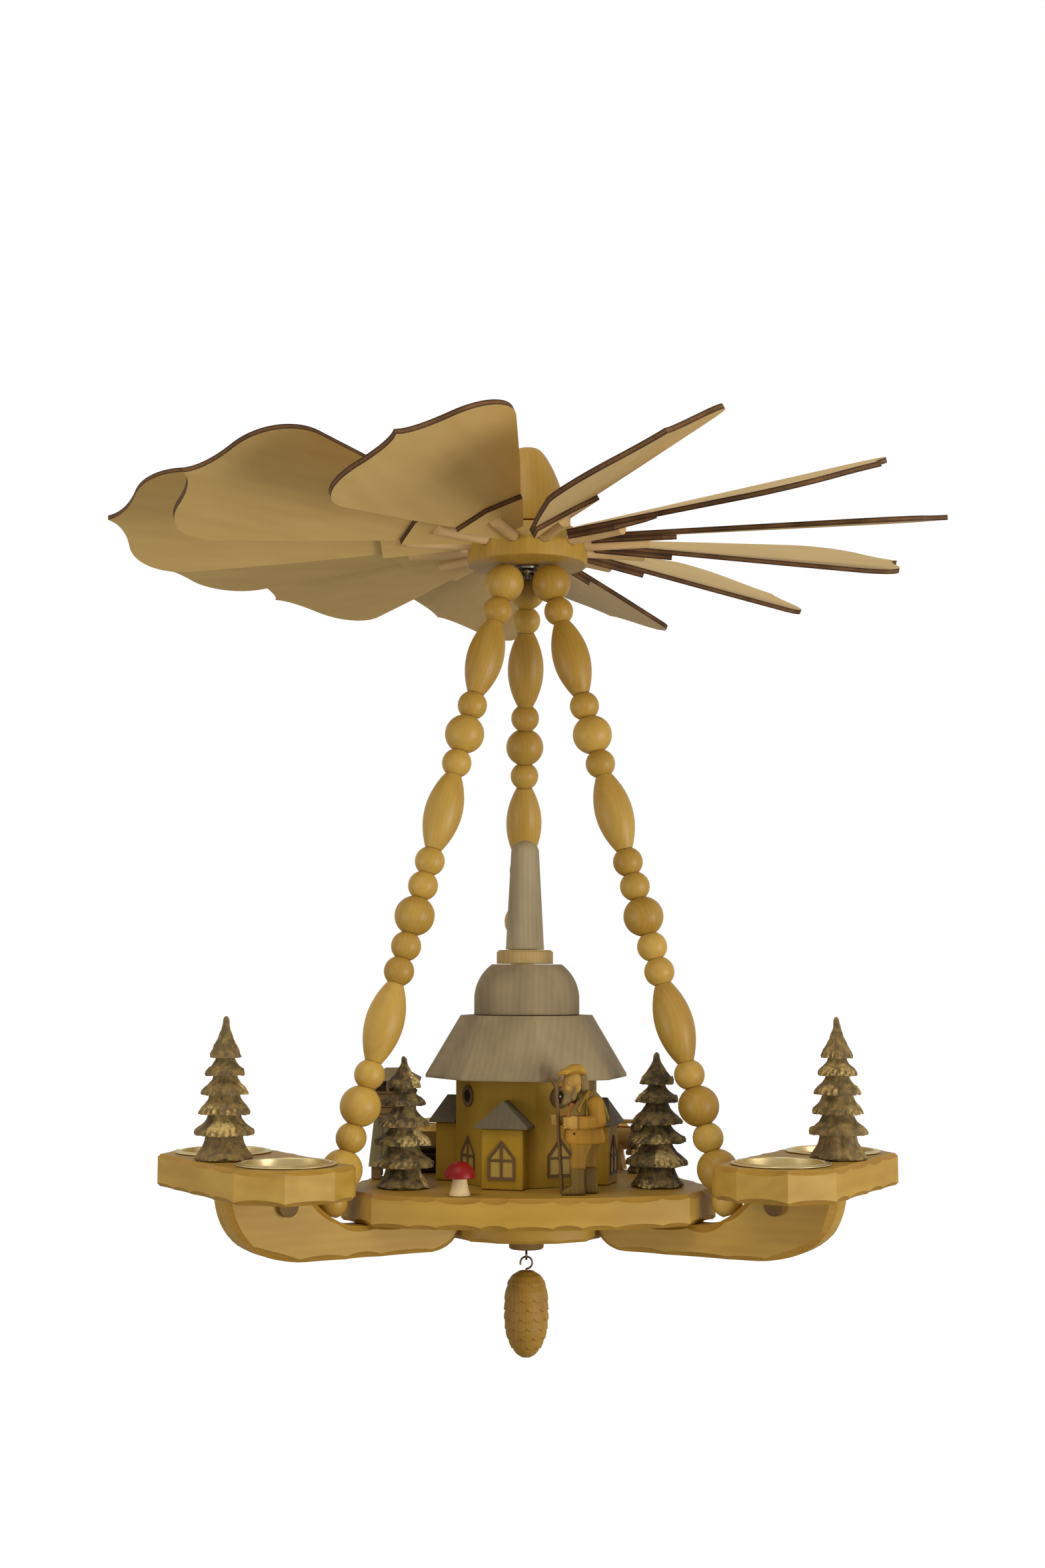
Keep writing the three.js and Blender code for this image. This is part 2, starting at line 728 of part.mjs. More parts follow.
const roofFoot = bodyHeight + gap;
const domeFoot = roofFoot + roofHeight + gap;
const collarFoot = domeFoot + domeHeight + gap;
const spireFoot = collarFoot + collarHeight + gap;

function domeGeometry() {
  const shoulder = new THREE.CubicBezierCurve(
    new THREE.Vector2(domeRadius, domeHeight / 3),
    new THREE.Vector2(domeRadius, domeHeight * 0.7),
    new THREE.Vector2(domeTopRadius + (domeRadius - domeTopRadius) * 0.6, domeHeight),
    new THREE.Vector2(domeTopRadius, domeHeight),
  ).getPoints(5).map((point) => [point.x, point.y]);
  return revolve([[0, 0], [domeRadius - domeHeight / 20, 0], ...shoulder, [0, domeHeight]], 24);
}

add(village, 'church_body', churchBody(), yellowWash);
add(village, 'church_roof', join([
  octagonal(roofBottomCornerRadius, roofBottomCornerRadius, roofLip + glueDepth),
  octagonal(roofBottomCornerRadius, roofTopCornerRadius, roofHeight - roofLip).translate(0, 0, roofLip),
]), greyWash, [0, 0, roofFoot]);
add(village, 'church_dome', domeGeometry(), greyWash, [0, 0, domeFoot]);
add(village, 'dome_collar', revolve([
  [0, 0], [collarRadius, 0], [collarRadius, collarHeight - collarEdge],
  [collarRadius - collarEdge, collarHeight], [0, collarHeight],
], 24), beech, [0, 0, collarFoot]);
add(village, 'spire', revolve([
  [0, 0], [spireFootRadius, 0], [spireTopRadius, spireHeight - spireTopRadius / 2],
  [spireTopRadius * 0.8, spireHeight - spireTopRadius / 6], [spireTopRadius / 2.5, spireHeight], [0, spireHeight],
], 20), greyWash, [0, 0, spireFoot]);

// Annexes against three walls of the church: a box with a window, and a hipped roof with its ridge square to the wall

function annexGeometry() {
  const box = block(annexReach, annexWidth, annexWallHeight).translate(annexReach / 2, 0, 0);
  const frame = pointedWindow().translate(annexReach, 0, windowSill);
  return join([box, frame]);
}

function annexRoofGeometry() {
  const half = annexRoofWidth / 2;
  const corners = [];
  [0, annexRoofLip].forEach((height) => {
    [[0, -half], [annexRoofReach, -half], [annexRoofReach, half], [0, half]].forEach(([x, y]) => {
      corners.push(new THREE.Vector3(x, y, height));
    });
  });
  corners.push(new THREE.Vector3(0, 0, annexRoofHeight), new THREE.Vector3(annexRidgeReach, 0, annexRoofHeight));
  return new ConvexGeometry(corners);
}

const annexSolid = annexGeometry();
const annexRoofSolid = annexRoofGeometry();
const annexStart = bodyCornerRadius * Math.cos(Math.PI / churchFaces) + gap;
annexFaces.forEach(([face, side]) => {
  const azimuth = faceAzimuth + ((face - 1) * 360) / churchFaces;
  const holder = group(village, [0, 0, 0], azimuth);
  add(holder, `annex_${side}`, annexSolid, yellowWash, [annexStart, 0, 0]);
  add(holder, `annex_roof_${side}`, annexRoofSolid, greyWash, [annexStart, 0, annexWallHeight + gap]);
});

// Trees on the plate

plateTreePlaces.forEach(([x, y], i) => {
  add(village, `plate_tree_${sideNames[i + 1]}`, treeSolid, greenBrown, [x, y, 0]);
});
add(village, 'plate_tree_small',
  treeGeometry(smallTreeRadius, smallTreeHeight, 7), greenBrown, [...smallTreePlace, 0]);

// Walker: faces -X, with boots, trousers, coat, rucksack, bent arms, head and flat cap, as shares of its height
function walkerGeometry(height) {
  const h = (share) => height * share;
  const boot = (y, x) => join([
    block(h(0.17), h(0.09), h(0.06)).translate(x - h(0.03), y, 0),
    block(h(0.1), h(0.09), h(0.16)).translate(x, y, 0),
  ]);
  const coat = revolve([[0, 0], [h(0.15), 0], [h(0.125), h(0.2)], [h(0.12), h(0.4)], [h(0.06), h(0.47)], [0, h(0.47)]], 10)
    .scale(0.85, 1.05, 1).translate(0, 0, h(0.34));
  const cap = revolve([[0, 0], [h(0.085), 0], [h(0.1), h(0.02)], [h(0.07), h(0.06)], [0, h(0.06)]], 10)
    .scale(1.15, 1, 1).translate(-h(0.01), 0, h(0.93));
  return join([
    boot(-h(0.07), -h(0.06)),
    boot(h(0.07), h(0.06)),
    bar([-h(0.05), -h(0.07), h(0.12)], [0, -h(0.05), h(0.42)], h(0.055), h(0.075)),
    bar([h(0.05), h(0.07), h(0.12)], [0, h(0.05), h(0.42)], h(0.055), h(0.075)),
    coat,
    block(h(0.1), h(0.19), h(0.22)).translate(h(0.14), 0, h(0.52)),
    bar([0, -h(0.13), h(0.74)], [h(0.03), -h(0.16), h(0.58)], h(0.045), h(0.04)),
    bar([h(0.03), -h(0.16), h(0.58)], [-h(0.15), -h(0.08), h(0.57)], h(0.04), h(0.03)),
    bar([0, h(0.13), h(0.74)], [h(0.02), h(0.15), h(0.58)], h(0.045), h(0.04)),
    bar([h(0.02), h(0.15), h(0.58)], [-h(0.13), h(0.1), h(0.56)], h(0.04), h(0.03)),
    ball(h(0.082), 8, 6).scale(1, 0.92, 1.15).translate(-h(0.02), 0, h(0.87)),
    cap,
  ]);
}

add(village, 'walker', walkerGeometry(walkerHeight), carvedWood, [...walkerPlace, 0]);
function stickGeometry() {
  const [leanX, leanY] = stickLean;
  const forkHeight = stickHeight - 2 * stickFork;
  const prongs = [-stickFork, stickFork].map((spread) => bar(
    [leanX, leanY, forkHeight - stickRadius], [leanX + spread, leanY, stickHeight],
    stickRadius * 0.8, stickRadius * 0.6, 6,
  ));
  return join([bar([0, 0, 0], [leanX, leanY, forkHeight], stickRadius, stickRadius * 0.9, 6), ...prongs]);
}

add(village, 'walking_stick', stickGeometry(), carvedWood, [...stickFoot, 0]);

// Toadstool
add(village, 'toadstool', join([
  disc(toadstoolStemRadius, toadstoolStemHeight, 12, toadstoolStemTopRadius),
  revolve([
    [0, 0], [toadstoolCapRadius * 0.9, 0], [toadstoolCapRadius, toadstoolCapHeight * 0.16],
    [toadstoolCapRadius * 0.86, toadstoolCapHeight * 0.55], [toadstoolCapRadius * 0.5, toadstoolCapHeight * 0.9],
    [0, toadstoolCapHeight],
  ], 14).translate(0, 0, toadstoolStemHeight - glueDepth),
]), redPaint, [...toadstoolPlace, 0]);

// Deer: stands facing +X
function deerGeometry(length) {
  const d = (share) => length * share;
  const leg = (x, y) => bar([x, y, 0], [x * 0.9, y * 0.8, d(0.55)], d(0.035), d(0.07), 6);
  const antler = (side) => [
    bar([d(0.46), side * d(0.05), d(1.12)], [d(0.42), side * d(0.16), d(1.55)], d(0.035), d(0.02), 6),
    bar([d(0.44), side * d(0.11), d(1.32)], [d(0.58), side * d(0.2), d(1.5)], d(0.03), d(0.02), 6),
  ];
  return join([
    ball(d(0.17), 8, 6).scale(2.2, 0.95, 1).translate(0, 0, d(0.62)),
    leg(-d(0.3), -d(0.1)), leg(-d(0.34), d(0.1)), leg(d(0.3), -d(0.1)), leg(d(0.26), d(0.1)),
    bar([d(0.26), 0, d(0.66)], [d(0.44), 0, d(1.06)], d(0.12), d(0.075)),
    bar([d(0.38), 0, d(1.1)], [d(0.62), 0, d(1)], d(0.08), d(0.045)),
    ...antler(1), ...antler(-1),
  ]);
}

add(village, 'deer', deerGeometry(deerLength), carvedWood, [...deerPlace, 0]);

// Raised hide: four block feet, tapered boarded legs, a cabin and a hipped roof, as shares of its height
function hideGeometry(height) {
  const h = (share) => height * share;
  const tapered = (bottom, top, tall) => disc(bottom, tall, 4, top).rotateZ(Math.PI / 4);
  const foot = (x, y) => block(h(0.1), h(0.1), h(0.12)).translate(x, y, 0);
  return join([
    foot(h(0.15), h(0.15)), foot(-h(0.15), h(0.15)), foot(h(0.15), -h(0.15)), foot(-h(0.15), -h(0.15)),
    tapered(h(0.33), h(0.26), h(0.46)).translate(0, 0, h(0.11)),
    block(h(0.42), h(0.42), h(0.22)).translate(0, 0, h(0.56)),
    tapered(h(0.22), h(0.22), h(0.14)).translate(0, 0, h(0.77)),
    tapered(h(0.33), h(0.08), h(0.12)).translate(0, 0, h(0.88)),
  ]);
}

add(village, 'raised_hide', hideGeometry(hideHeight), darkStain, [...hidePlace, 0]);

export default object;
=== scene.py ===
from random import Random
from math import asin, atan2, cos, hypot, pi, radians, sin, sqrt, tan

import bmesh
import bpy
from mathutils import Matrix, Vector, noise
from mathutils.geometry import interpolate_bezier


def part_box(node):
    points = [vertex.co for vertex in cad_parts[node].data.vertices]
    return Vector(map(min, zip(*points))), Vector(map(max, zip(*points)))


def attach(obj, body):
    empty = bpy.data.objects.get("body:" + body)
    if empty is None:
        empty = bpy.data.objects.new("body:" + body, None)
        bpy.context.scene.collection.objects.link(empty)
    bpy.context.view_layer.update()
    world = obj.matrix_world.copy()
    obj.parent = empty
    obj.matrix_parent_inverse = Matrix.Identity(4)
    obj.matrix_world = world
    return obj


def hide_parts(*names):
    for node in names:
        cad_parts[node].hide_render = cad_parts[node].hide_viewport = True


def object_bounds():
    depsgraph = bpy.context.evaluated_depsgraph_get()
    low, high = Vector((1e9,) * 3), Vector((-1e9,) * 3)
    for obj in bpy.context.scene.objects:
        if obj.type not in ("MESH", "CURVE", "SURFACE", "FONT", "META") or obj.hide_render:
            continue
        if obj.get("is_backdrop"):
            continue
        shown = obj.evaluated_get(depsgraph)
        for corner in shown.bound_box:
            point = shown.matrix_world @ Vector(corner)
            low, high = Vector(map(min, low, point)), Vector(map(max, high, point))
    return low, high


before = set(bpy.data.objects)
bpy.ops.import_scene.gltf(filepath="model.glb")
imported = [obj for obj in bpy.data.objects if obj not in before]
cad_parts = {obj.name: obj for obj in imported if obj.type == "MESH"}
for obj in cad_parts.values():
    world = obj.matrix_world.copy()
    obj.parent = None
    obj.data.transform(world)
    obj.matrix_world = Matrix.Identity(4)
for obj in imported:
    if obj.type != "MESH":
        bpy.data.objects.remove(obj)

cad_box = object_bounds()


# Camera. It stands a metre in front of the carousel, at two thirds of its height from the top, and looks
# up at the wheel a little. The lens and the place were fitted to the beads and the trays in the
# photograph.
def put(name, data):
    """A new object in the scene."""
    made = bpy.data.objects.new(name, data)
    bpy.context.scene.collection.objects.link(made)
    return made


mm = 0.001
camera_data = bpy.data.cameras.new("camera")
camera_data.sensor_fit = "VERTICAL"
camera_data.sensor_height = 36
camera_data.lens = 44.35
camera = put("camera", camera_data)
camera_azimuth, camera_pitch, camera_roll = 88.14, 5.609, 0.116
camera.matrix_world = (
    Matrix.Translation(Vector((-34.82, -997.72, -275.36)) * mm)
    @ Matrix.Rotation(radians(camera_azimuth - 90), 4, "Z")
    @ Matrix.Rotation(radians(90 + camera_pitch), 4, "X")
    @ Matrix.Rotation(radians(camera_roll), 4, "Z")
)
bpy.context.scene.camera = camera
bpy.context.scene.view_settings.view_transform = "Standard"


# Studio. A white floor under the hanging object and a white room around it; the room looks pure white to
# the camera and gives everything else a softer, even light.
def linear(colour):
    channels = [int(colour[i:i + 2], 16) / 255 for i in (1, 3, 5)]
    return [c / 12.92 if c <= 0.04045 else ((c + 0.055) / 1.055) ** 2.4 for c in channels] + [1.0]


def add_node(material, kind, inputs=None, **settings):
    """Adds a node; inputs maps each socket to a value or to the output of another node."""
    added = material.node_tree.nodes.new(kind)
    for name, value in settings.items():
        setattr(added, name, value)
    for socket, value in (inputs or {}).items():
        if isinstance(value, bpy.types.NodeSocket):
            material.node_tree.links.new(value, added.inputs[socket])
        else:
            added.inputs[socket].default_value = value
    return added


def cleared(owner):
    """A material or a world with an empty node tree."""
    owner.use_nodes = True
    owner.node_tree.nodes.clear()
    return owner


room_strength = 0.62
room = cleared(bpy.data.worlds.new("studio_room"))
rays = add_node(room, "ShaderNodeLightPath")
seen = add_node(room, "ShaderNodeMath", {0: rays.outputs["Is Camera Ray"],
                                         1: rays.outputs["Is Transmission Ray"]},
                operation="MAXIMUM")
strength = add_node(room, "ShaderNodeMapRange",
                    {"Value": seen.outputs[0], "To Min": room_strength, "To Max": 1.0})
glow = add_node(room, "ShaderNodeBackground",
                {"Color": linear("#ffffff"), "Strength": strength.outputs[0]})
add_node(room, "ShaderNodeOutputWorld", {"Surface": glow.outputs[0]})
bpy.context.scene.world = room

floor_material = cleared(bpy.data.materials.new("studio_floor"))
floor_rays = add_node(floor_material, "ShaderNodeLightPath")
floor_light = add_node(floor_material, "ShaderNodeMath",
                       {0: floor_rays.outputs["Is Camera Ray"], 1: 1.55}, operation="MULTIPLY")
floor_paint = add_node(floor_material, "ShaderNodeBsdfDiffuse", {"Color": linear("#e6e6e6")})
floor_glow = add_node(floor_material, "ShaderNodeEmission",
                      {"Color": linear("#ffffff"), "Strength": floor_light.outputs[0]})
floor_mix = add_node(floor_material, "ShaderNodeMixShader",
                     {0: 0.5, 1: floor_paint.outputs[0], 2: floor_glow.outputs[0]})
add_node(floor_material, "ShaderNodeOutputMaterial", {"Surface": floor_mix.outputs[0]})
floor_bm = bmesh.new()
bmesh.ops.create_grid(floor_bm, x_segments=1, y_segments=1, size=3)
bmesh.ops.translate(floor_bm, verts=floor_bm.verts, vec=(0, 0, cad_box[0][2] - 0.3))
floor_mesh = bpy.data.meshes.new("floor")
floor_bm.to_mesh(floor_mesh)
floor_mesh.materials.append(floor_material)
floor = put("floor", floor_mesh)
floor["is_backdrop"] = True

middle = Vector((0, 0, (cad_box[0][2] + cad_box[1][2]) / 2))
for lamp_name, azimuth, elevation, distance, size, power in (
    ("softbox_left", 212, -12, 1.7, 0.9, 9),
    ("softbox_right", 322, -8, 1.7, 0.9, 20),
    ("softbox_front", 275, -30, 1.9, 0.8, 9),
    ("softbox_above", 250, 55, 1.9, 1.0, 10),
):
    lamp_data = bpy.data.lights.new(lamp_name, "AREA")
    lamp_data.shape = "DISK"
    lamp_data.size = size
    lamp_data.energy = power
    lamp = put(lamp_name, lamp_data)
    direction = Vector((cos(radians(azimuth)) * cos(radians(elevation)),
                        sin(radians(azimuth)) * cos(radians(elevation)), sin(radians(elevation))))
    lamp.location = middle + direction * distance
    lamp.rotation_euler = direction.to_track_quat("Z", "Y").to_euler()


# Suspension bell. Limewood turned between centres to a foot with a bead step and a long convex flank,
# then lacquered. It hangs still, on the bell's flat top, and holds the spindle in a blind bore.
def weighted(material, *terms):
    """A share about one half: each texture adds its swing about its own middle, times its weight."""
    total = 0.5
    for texture, weight in terms:
        total = add_node(material, "ShaderNodeMath", {0: texture, 1: weight, 2: total},
                         operation="MULTIPLY_ADD").outputs[0]
        total = add_node(material, "ShaderNodeMath", {0: total, 1: weight / 2},
                         operation="SUBTRACT").outputs[0]
    return total


def object_place(material):
    """The place on the piece, so that the grain rides with it."""
    return add_node(material, "ShaderNodeTexCoord").outputs["Object"]


def speckle(material, place, size_mm, detail, rough=0.5):
    """Noise whose coarsest grains are about this size."""
    inputs = {"Vector": place, "Scale": 1 / (size_mm * mm), "Detail": detail, "Roughness": rough}
    return add_node(material, "ShaderNodeTexNoise", inputs).outputs["Fac"]


def blend(material, share, first, second):
    """A colour between two others."""
    inputs = {"Factor": share, 6: first, 7: second}
    return add_node(material, "ShaderNodeMix", inputs, data_type="RGBA").outputs[2]


def finished(material, **inputs):
    """Ends a material with its shader; an underscore in a name stands for a space."""
    inputs = {name.replace("_", " "): value for name, value in inputs.items()}
    shader = add_node(material, "ShaderNodeBsdfPrincipled", inputs)
    add_node(material, "ShaderNodeOutputMaterial", {"Surface": shader.outputs[0]})
    return material


def wood(name, pale, deep, ring_mm=2.4, figure=0.5, roughness=0.5, along=(0, 0, 1), shift=(0.06, 0.02, 0),
         tone="", bump=0.12):
    """Solid wood on Object coordinates: growth rings, fibres along one direction and soft blotches."""
    material = cleared(bpy.data.materials.new(name))
    place = object_place(material)
    if tone:
        piece_tone = add_node(material, "ShaderNodeAttribute", attribute_name=tone).outputs["Fac"]
        apart = add_node(material, "ShaderNodeVectorMath", {0: (0.31, 0.17, 0.23), "Scale": piece_tone},
                         operation="SCALE")
        place = add_node(material, "ShaderNodeVectorMath", {0: place, 1: apart.outputs[0]}).outputs[0]
    turn = Vector(along).rotation_difference(Vector((0, 0, 1))).to_euler()
    board = add_node(material, "ShaderNodeMapping",
                     {"Vector": place, "Location": shift, "Rotation": turn}).outputs[0]
    ring_scale = 0.314 / (ring_mm * mm)
    bent = add_node(material, "ShaderNodeMapping", {"Vector": board, "Scale": (1, 1, 0.3)}).outputs[0]
    rings = add_node(material, "ShaderNodeTexWave",
                     {"Vector": bent, "Scale": ring_scale, "Distortion": 3.5,
                     "Detail": 2.0, "Detail Scale": 0.35}, wave_type="RINGS",
                     rings_direction="Z").outputs["Fac"]
    stretched = add_node(material, "ShaderNodeMapping",
                         {"Vector": board, "Scale": (1, 1, 0.045)}).outputs[0]
    fibres = speckle(material, stretched, 0.4, 4.0, 0.65)
    blotches = speckle(material, bent, 12, 2.0)
    terms = [(rings, 0.22 * figure), (fibres, 0.45 * figure), (blotches, 2.0 * figure)]
    if tone:
        terms.append((piece_tone, 0.7))
    colour = blend(material, weighted(material, *terms), linear(pale), linear(deep))
    relief = add_node(material, "ShaderNodeBump",
                      {"Height": fibres, "Strength": bump, "Distance": 0.15 * mm}).outputs[0]
    return finished(material, Base_Color=colour, Roughness=roughness, IOR=1.45, Specular_IOR_Level=0.3,
                    Normal=relief)


def face_out(bm):
    """Turns all faces outwards."""
    bmesh.ops.recalc_face_normals(bm, faces=bm.faces)
    return bm


def spun(outline, steps=96):
    """A bmesh turned about Z from (radius, height) points that start and end on the axis."""
    bm = bmesh.new()
    points = [bm.verts.new((radius, 0, height)) for radius, height in outline]
    edges = [bm.edges.new(pair) for pair in zip(points, points[1:])]
    bmesh.ops.spin(bm, geom=points + edges, cent=(0, 0, 0), axis=(0, 0, 1), dvec=(0, 0, 0), angle=2 * pi,
                   steps=steps, use_merge=True, use_duplicate=False)
    bmesh.ops.remove_doubles(bm, verts=bm.verts, dist=1e-6)
    return face_out(bm)


def rounded(outline, size, points=3):
    """The outline with each marked corner (a third value) turned into a small arc."""
    smooth = []
    for i, corner in enumerate(outline):
        if len(corner) == 2 or i in (0, len(outline) - 1):
            smooth.append(corner[:2])
            continue
        here = Vector(corner[:2])
        before = Vector(outline[i - 1][:2]) - here
        after = Vector(outline[i + 1][:2]) - here
        reach = min(size * corner[2], before.length * 0.45, after.length * 0.45)
        start, end = here + before.normalized() * reach, here + after.normalized() * reach
        for k in range(points + 1):
            t = k / points
            smooth.append(tuple(start * (1 - t) ** 2 + here * 2 * t * (1 - t) + end * t ** 2))
    return smooth


def piece(name, bm, materials, nodes, body="carousel", crease=32):
    """Makes the bmesh a piece that rides on a body, stands for CAD nodes and takes the given materials."""
    mesh = bpy.data.meshes.new(name)
    bm.to_mesh(mesh)
    bm.free()
    mesh.shade_smooth()
    mesh.set_sharp_from_angle(angle=radians(crease))
    for material in materials:
        mesh.materials.append(material)
    made = put(name, mesh)
    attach(made, body)
    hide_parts(*nodes)
    return made


lime_pale, lime_deep = "#b8943c", "#986f22"
bell_low, bell_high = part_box("suspension_bell")
bell_radius, bell_step, bell_top = 22.5 * mm, 1.7 * mm, 5.5 * mm
foot_top = bell_low.z + 9.7 * mm
flank = interpolate_bezier(
    Vector((bell_radius - bell_step, foot_top)), Vector((17.5 * mm, bell_low.z + 24 * mm)),
    Vector((10.5 * mm, bell_low.z + 40 * mm)), Vector((bell_top, bell_high.z)), 28)
bell_outline = rounded([
    (0, bell_low.z), (bell_radius, bell_low.z, 1), (bell_radius, foot_top, 1),
    (bell_radius - bell_step, foot_top),
    *[tuple(point)[:2] for point in flank[1:]], (0, bell_high.z)], 0.5 * mm)
lime_turned = wood("limewood_turned", lime_pale, lime_deep, ring_mm=3, figure=0.45, roughness=0.45)
piece("bell", spun(bell_outline), [lime_turned], ["suspension_bell"], "suspension")


# Spindle, washer and nut. Bright drawn steel: the rod is pushed into the bell, and the washer and the nut
# below the hub carry the wheel.
def steel(name, colour, roughness):
    """Drawn or turned steel: fine marks round the work make the reflections a little streaky."""
    material = cleared(bpy.data.materials.new(name))
    place = object_place(material)
    marks = speckle(material, place, 0.3, 3.0)
    wear_and_painted_shade = add_node(material, "ShaderNodeMapRange",
                    {"Value": marks, "To Min": roughness * 0.7, "To Max": roughness * 1.4}).outputs[0]
    return finished(material, Base_Color=linear(colour), Metallic=1.0, Roughness=wear_and_painted_shade)


def broken(bm, edges, offset, segments=2):
    """Breaks edges with a small chamfer or round."""
    bmesh.ops.bevel(bm, geom=edges, offset=offset, affect="EDGES", segments=segments, profile=0.5,
                    material=-1)
    return bm


bright_steel = steel("drawn_steel", "#a9a49a", 0.3)
spindle_low, spindle_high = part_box("spindle")
spindle_radius = 2 * mm
thread_pitch = 0.7 * mm
thread = []
for turn_number in range(12):
    foot = spindle_low.z + 0.3 * mm + turn_number * thread_pitch
    thread += [(spindle_radius - 0.25 * mm, foot), (spindle_radius, foot + thread_pitch / 2)]
piece("spindle_rod", spun([(0, spindle_low.z), (spindle_radius - 0.4 * mm, spindle_low.z), *thread,
                           (spindle_radius, spindle_high.z), (0, spindle_high.z)], 32),
      [bright_steel], ["spindle"], "suspension")

washer_low, washer_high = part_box("thrust_washer")
washer_radius = (washer_high.x - washer_low.x) / 2
washer_bm = spun(rounded([(spindle_radius, washer_low.z), (washer_radius, washer_low.z, 1),
                          (washer_radius, washer_high.z, 1),
                          (spindle_radius, washer_high.z), (spindle_radius, washer_low.z)], 0.3 * mm), 48)
piece("washer", washer_bm, [bright_steel], ["thrust_washer"], "suspension")

nut_low, nut_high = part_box("lock_nut")
nut_bm = bmesh.new()
bmesh.ops.create_cone(nut_bm, cap_ends=True, segments=6, radius1=4.04 * mm, radius2=4.04 * mm,
                      depth=nut_high.z - nut_low.z)
bmesh.ops.translate(nut_bm, verts=nut_bm.verts, vec=(0, 0, (nut_high.z + nut_low.z) / 2))
broken(nut_bm, nut_bm.edges[:], 0.25 * mm)
piece("nut", nut_bm, [bright_steel], ["lock_nut"], "suspension")


# Hub. A turned limewood disc with a coned upper edge and a bored socket for each blade's peg. The
# knife-sharp lower edge is just broken, and the underside is sawn across the grain.
hub_low, hub_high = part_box("hub")
hub_radius, hub_top_radius, hub_edge = 31.4 * mm, 27 * mm, 1.0 * mm
peg_z = hub_low.z + 9.6 * mm
onto_x = Matrix.Rotation(pi / 2, 4, "Y")
peg_radius = 3 * mm
blade_azimuths = [14.2 + 30 * i for i in range(12)]


def move(bm, matrix):
    """Places the whole bmesh by a matrix."""
    bmesh.ops.transform(bm, matrix=matrix, verts=bm.verts)
    return bm


def about(azimuth, *shift):
    """A turn about the carousel's axis, after a shift."""
    return Matrix.Rotation(radians(azimuth), 4, "Z") @ Matrix.Translation(shift or (0, 0, 0))


def merge(bm, part, matrix=Matrix(), index=None):
    """Adds another bmesh to this one, placed by the matrix, and drops it."""
    move(part, matrix)
    if index is not None:
        for face in part.faces:
            face.material_index = index
    scrap = bpy.data.meshes.new("part")
    part.to_mesh(scrap)
    part.free()
    bm.from_mesh(scrap)
    bpy.data.meshes.remove(scrap)


def cut(target, cutters):
    """Cuts the cutter bmeshes out of the object's mesh and drops them."""
    merged = bmesh.new()
    for cutter in cutters:
        merge(merged, cutter)
    tool_mesh = bpy.data.meshes.new("cutter")
    merged.to_mesh(tool_mesh)
    merged.free()
    tool = put("cutter", tool_mesh)
    cutting = target.modifiers.new("cut", "BOOLEAN")
    cutting.object = tool
    cutting.solver = "EXACT"
    graph = bpy.context.evaluated_depsgraph_get()
    result = bpy.data.meshes.new_from_object(target.evaluated_get(graph))
    target.modifiers.clear()
    target.data = result
    bpy.data.objects.remove(tool)
    result.shade_smooth()
    result.set_sharp_from_angle(angle=radians(32))


hub_outline = rounded([
    (0, hub_low.z), (hub_radius, hub_low.z, 1), (hub_radius, peg_z, 0.4), (hub_top_radius, hub_high.z, 1),
    (0, hub_high.z)], hub_edge)
hub = piece("hub_disc", spun(hub_outline, 144), [lime_turned], ["hub"])
sockets = []
for azimuth in blade_azimuths:
    socket = bmesh.new()
    bmesh.ops.create_cone(socket, cap_ends=True, segments=40, radius1=peg_radius + 0.25 * mm,
                          radius2=peg_radius + 0.25 * mm, depth=12 * mm)
    move(socket, about(azimuth, hub_radius, 0, peg_z) @ onto_x)
    sockets.append(socket)
cut(hub, sockets)


# Blades. Each is laser-cut from three-ply birch, so its edges are charred brown around a paler core; a
# root plate of the same ply and a beech peg are glued beneath. The peg turns in the hub to set the pitch.
ply = 2.6 * mm
blade_root, blade_root_half = 35.4 * mm, 7.4 * mm
knee, knee_half = 117 * mm, 30.2 * mm
shoulder, shoulder_half = 170 * mm, 43.7 * mm
waist, waist_half, blade_tip = 203.9 * mm, 24.2 * mm, 216 * mm
plate_shoulder, plate_point = 74 * mm, 79 * mm
plate_lift = 0.7 * mm
peg_inner, peg_bend, peg_tip = 19.7 * mm, 33.5 * mm, 65 * mm


def blade_edge():
    """Half of the blade's outline, from its root out to its tip."""
    reach = (waist - shoulder) / 2.2
    swell = interpolate_bezier(
        Vector((shoulder, shoulder_half)),
        Vector((shoulder + reach, shoulder_half * (1 + reach / shoulder))),
        Vector((waist - (waist - shoulder) / 10, waist_half + (shoulder_half - waist_half) * 0.8)),
        Vector((waist, waist_half)), 18)
    start, end = Vector((waist, waist_half)), Vector((blade_tip, 0))
    control = Vector((waist + (blade_tip - waist) / 4, waist_half / 5))
    ogee = [start * (1 - t) ** 2 + control * 2 * t * (1 - t) + end * t ** 2
            for t in (k / 12 for k in range(1, 13))]
    straight = [Vector((blade_root, blade_root_half)), Vector((knee, knee_half))]
    return straight + [Vector(point[:2]) for point in swell] + ogee


def raised(bm, faces, shift):
    """Extrudes the faces by the shift; returns the new faces and the new vertices."""
    grown = bmesh.ops.extrude_face_region(bm, geom=faces)["geom"]
    lifted = [item for item in grown if isinstance(item, bmesh.types.BMVert)]
    bmesh.ops.translate(bm, verts=lifted, vec=shift)
    return [item for item in grown if isinstance(item, bmesh.types.BMFace)], lifted


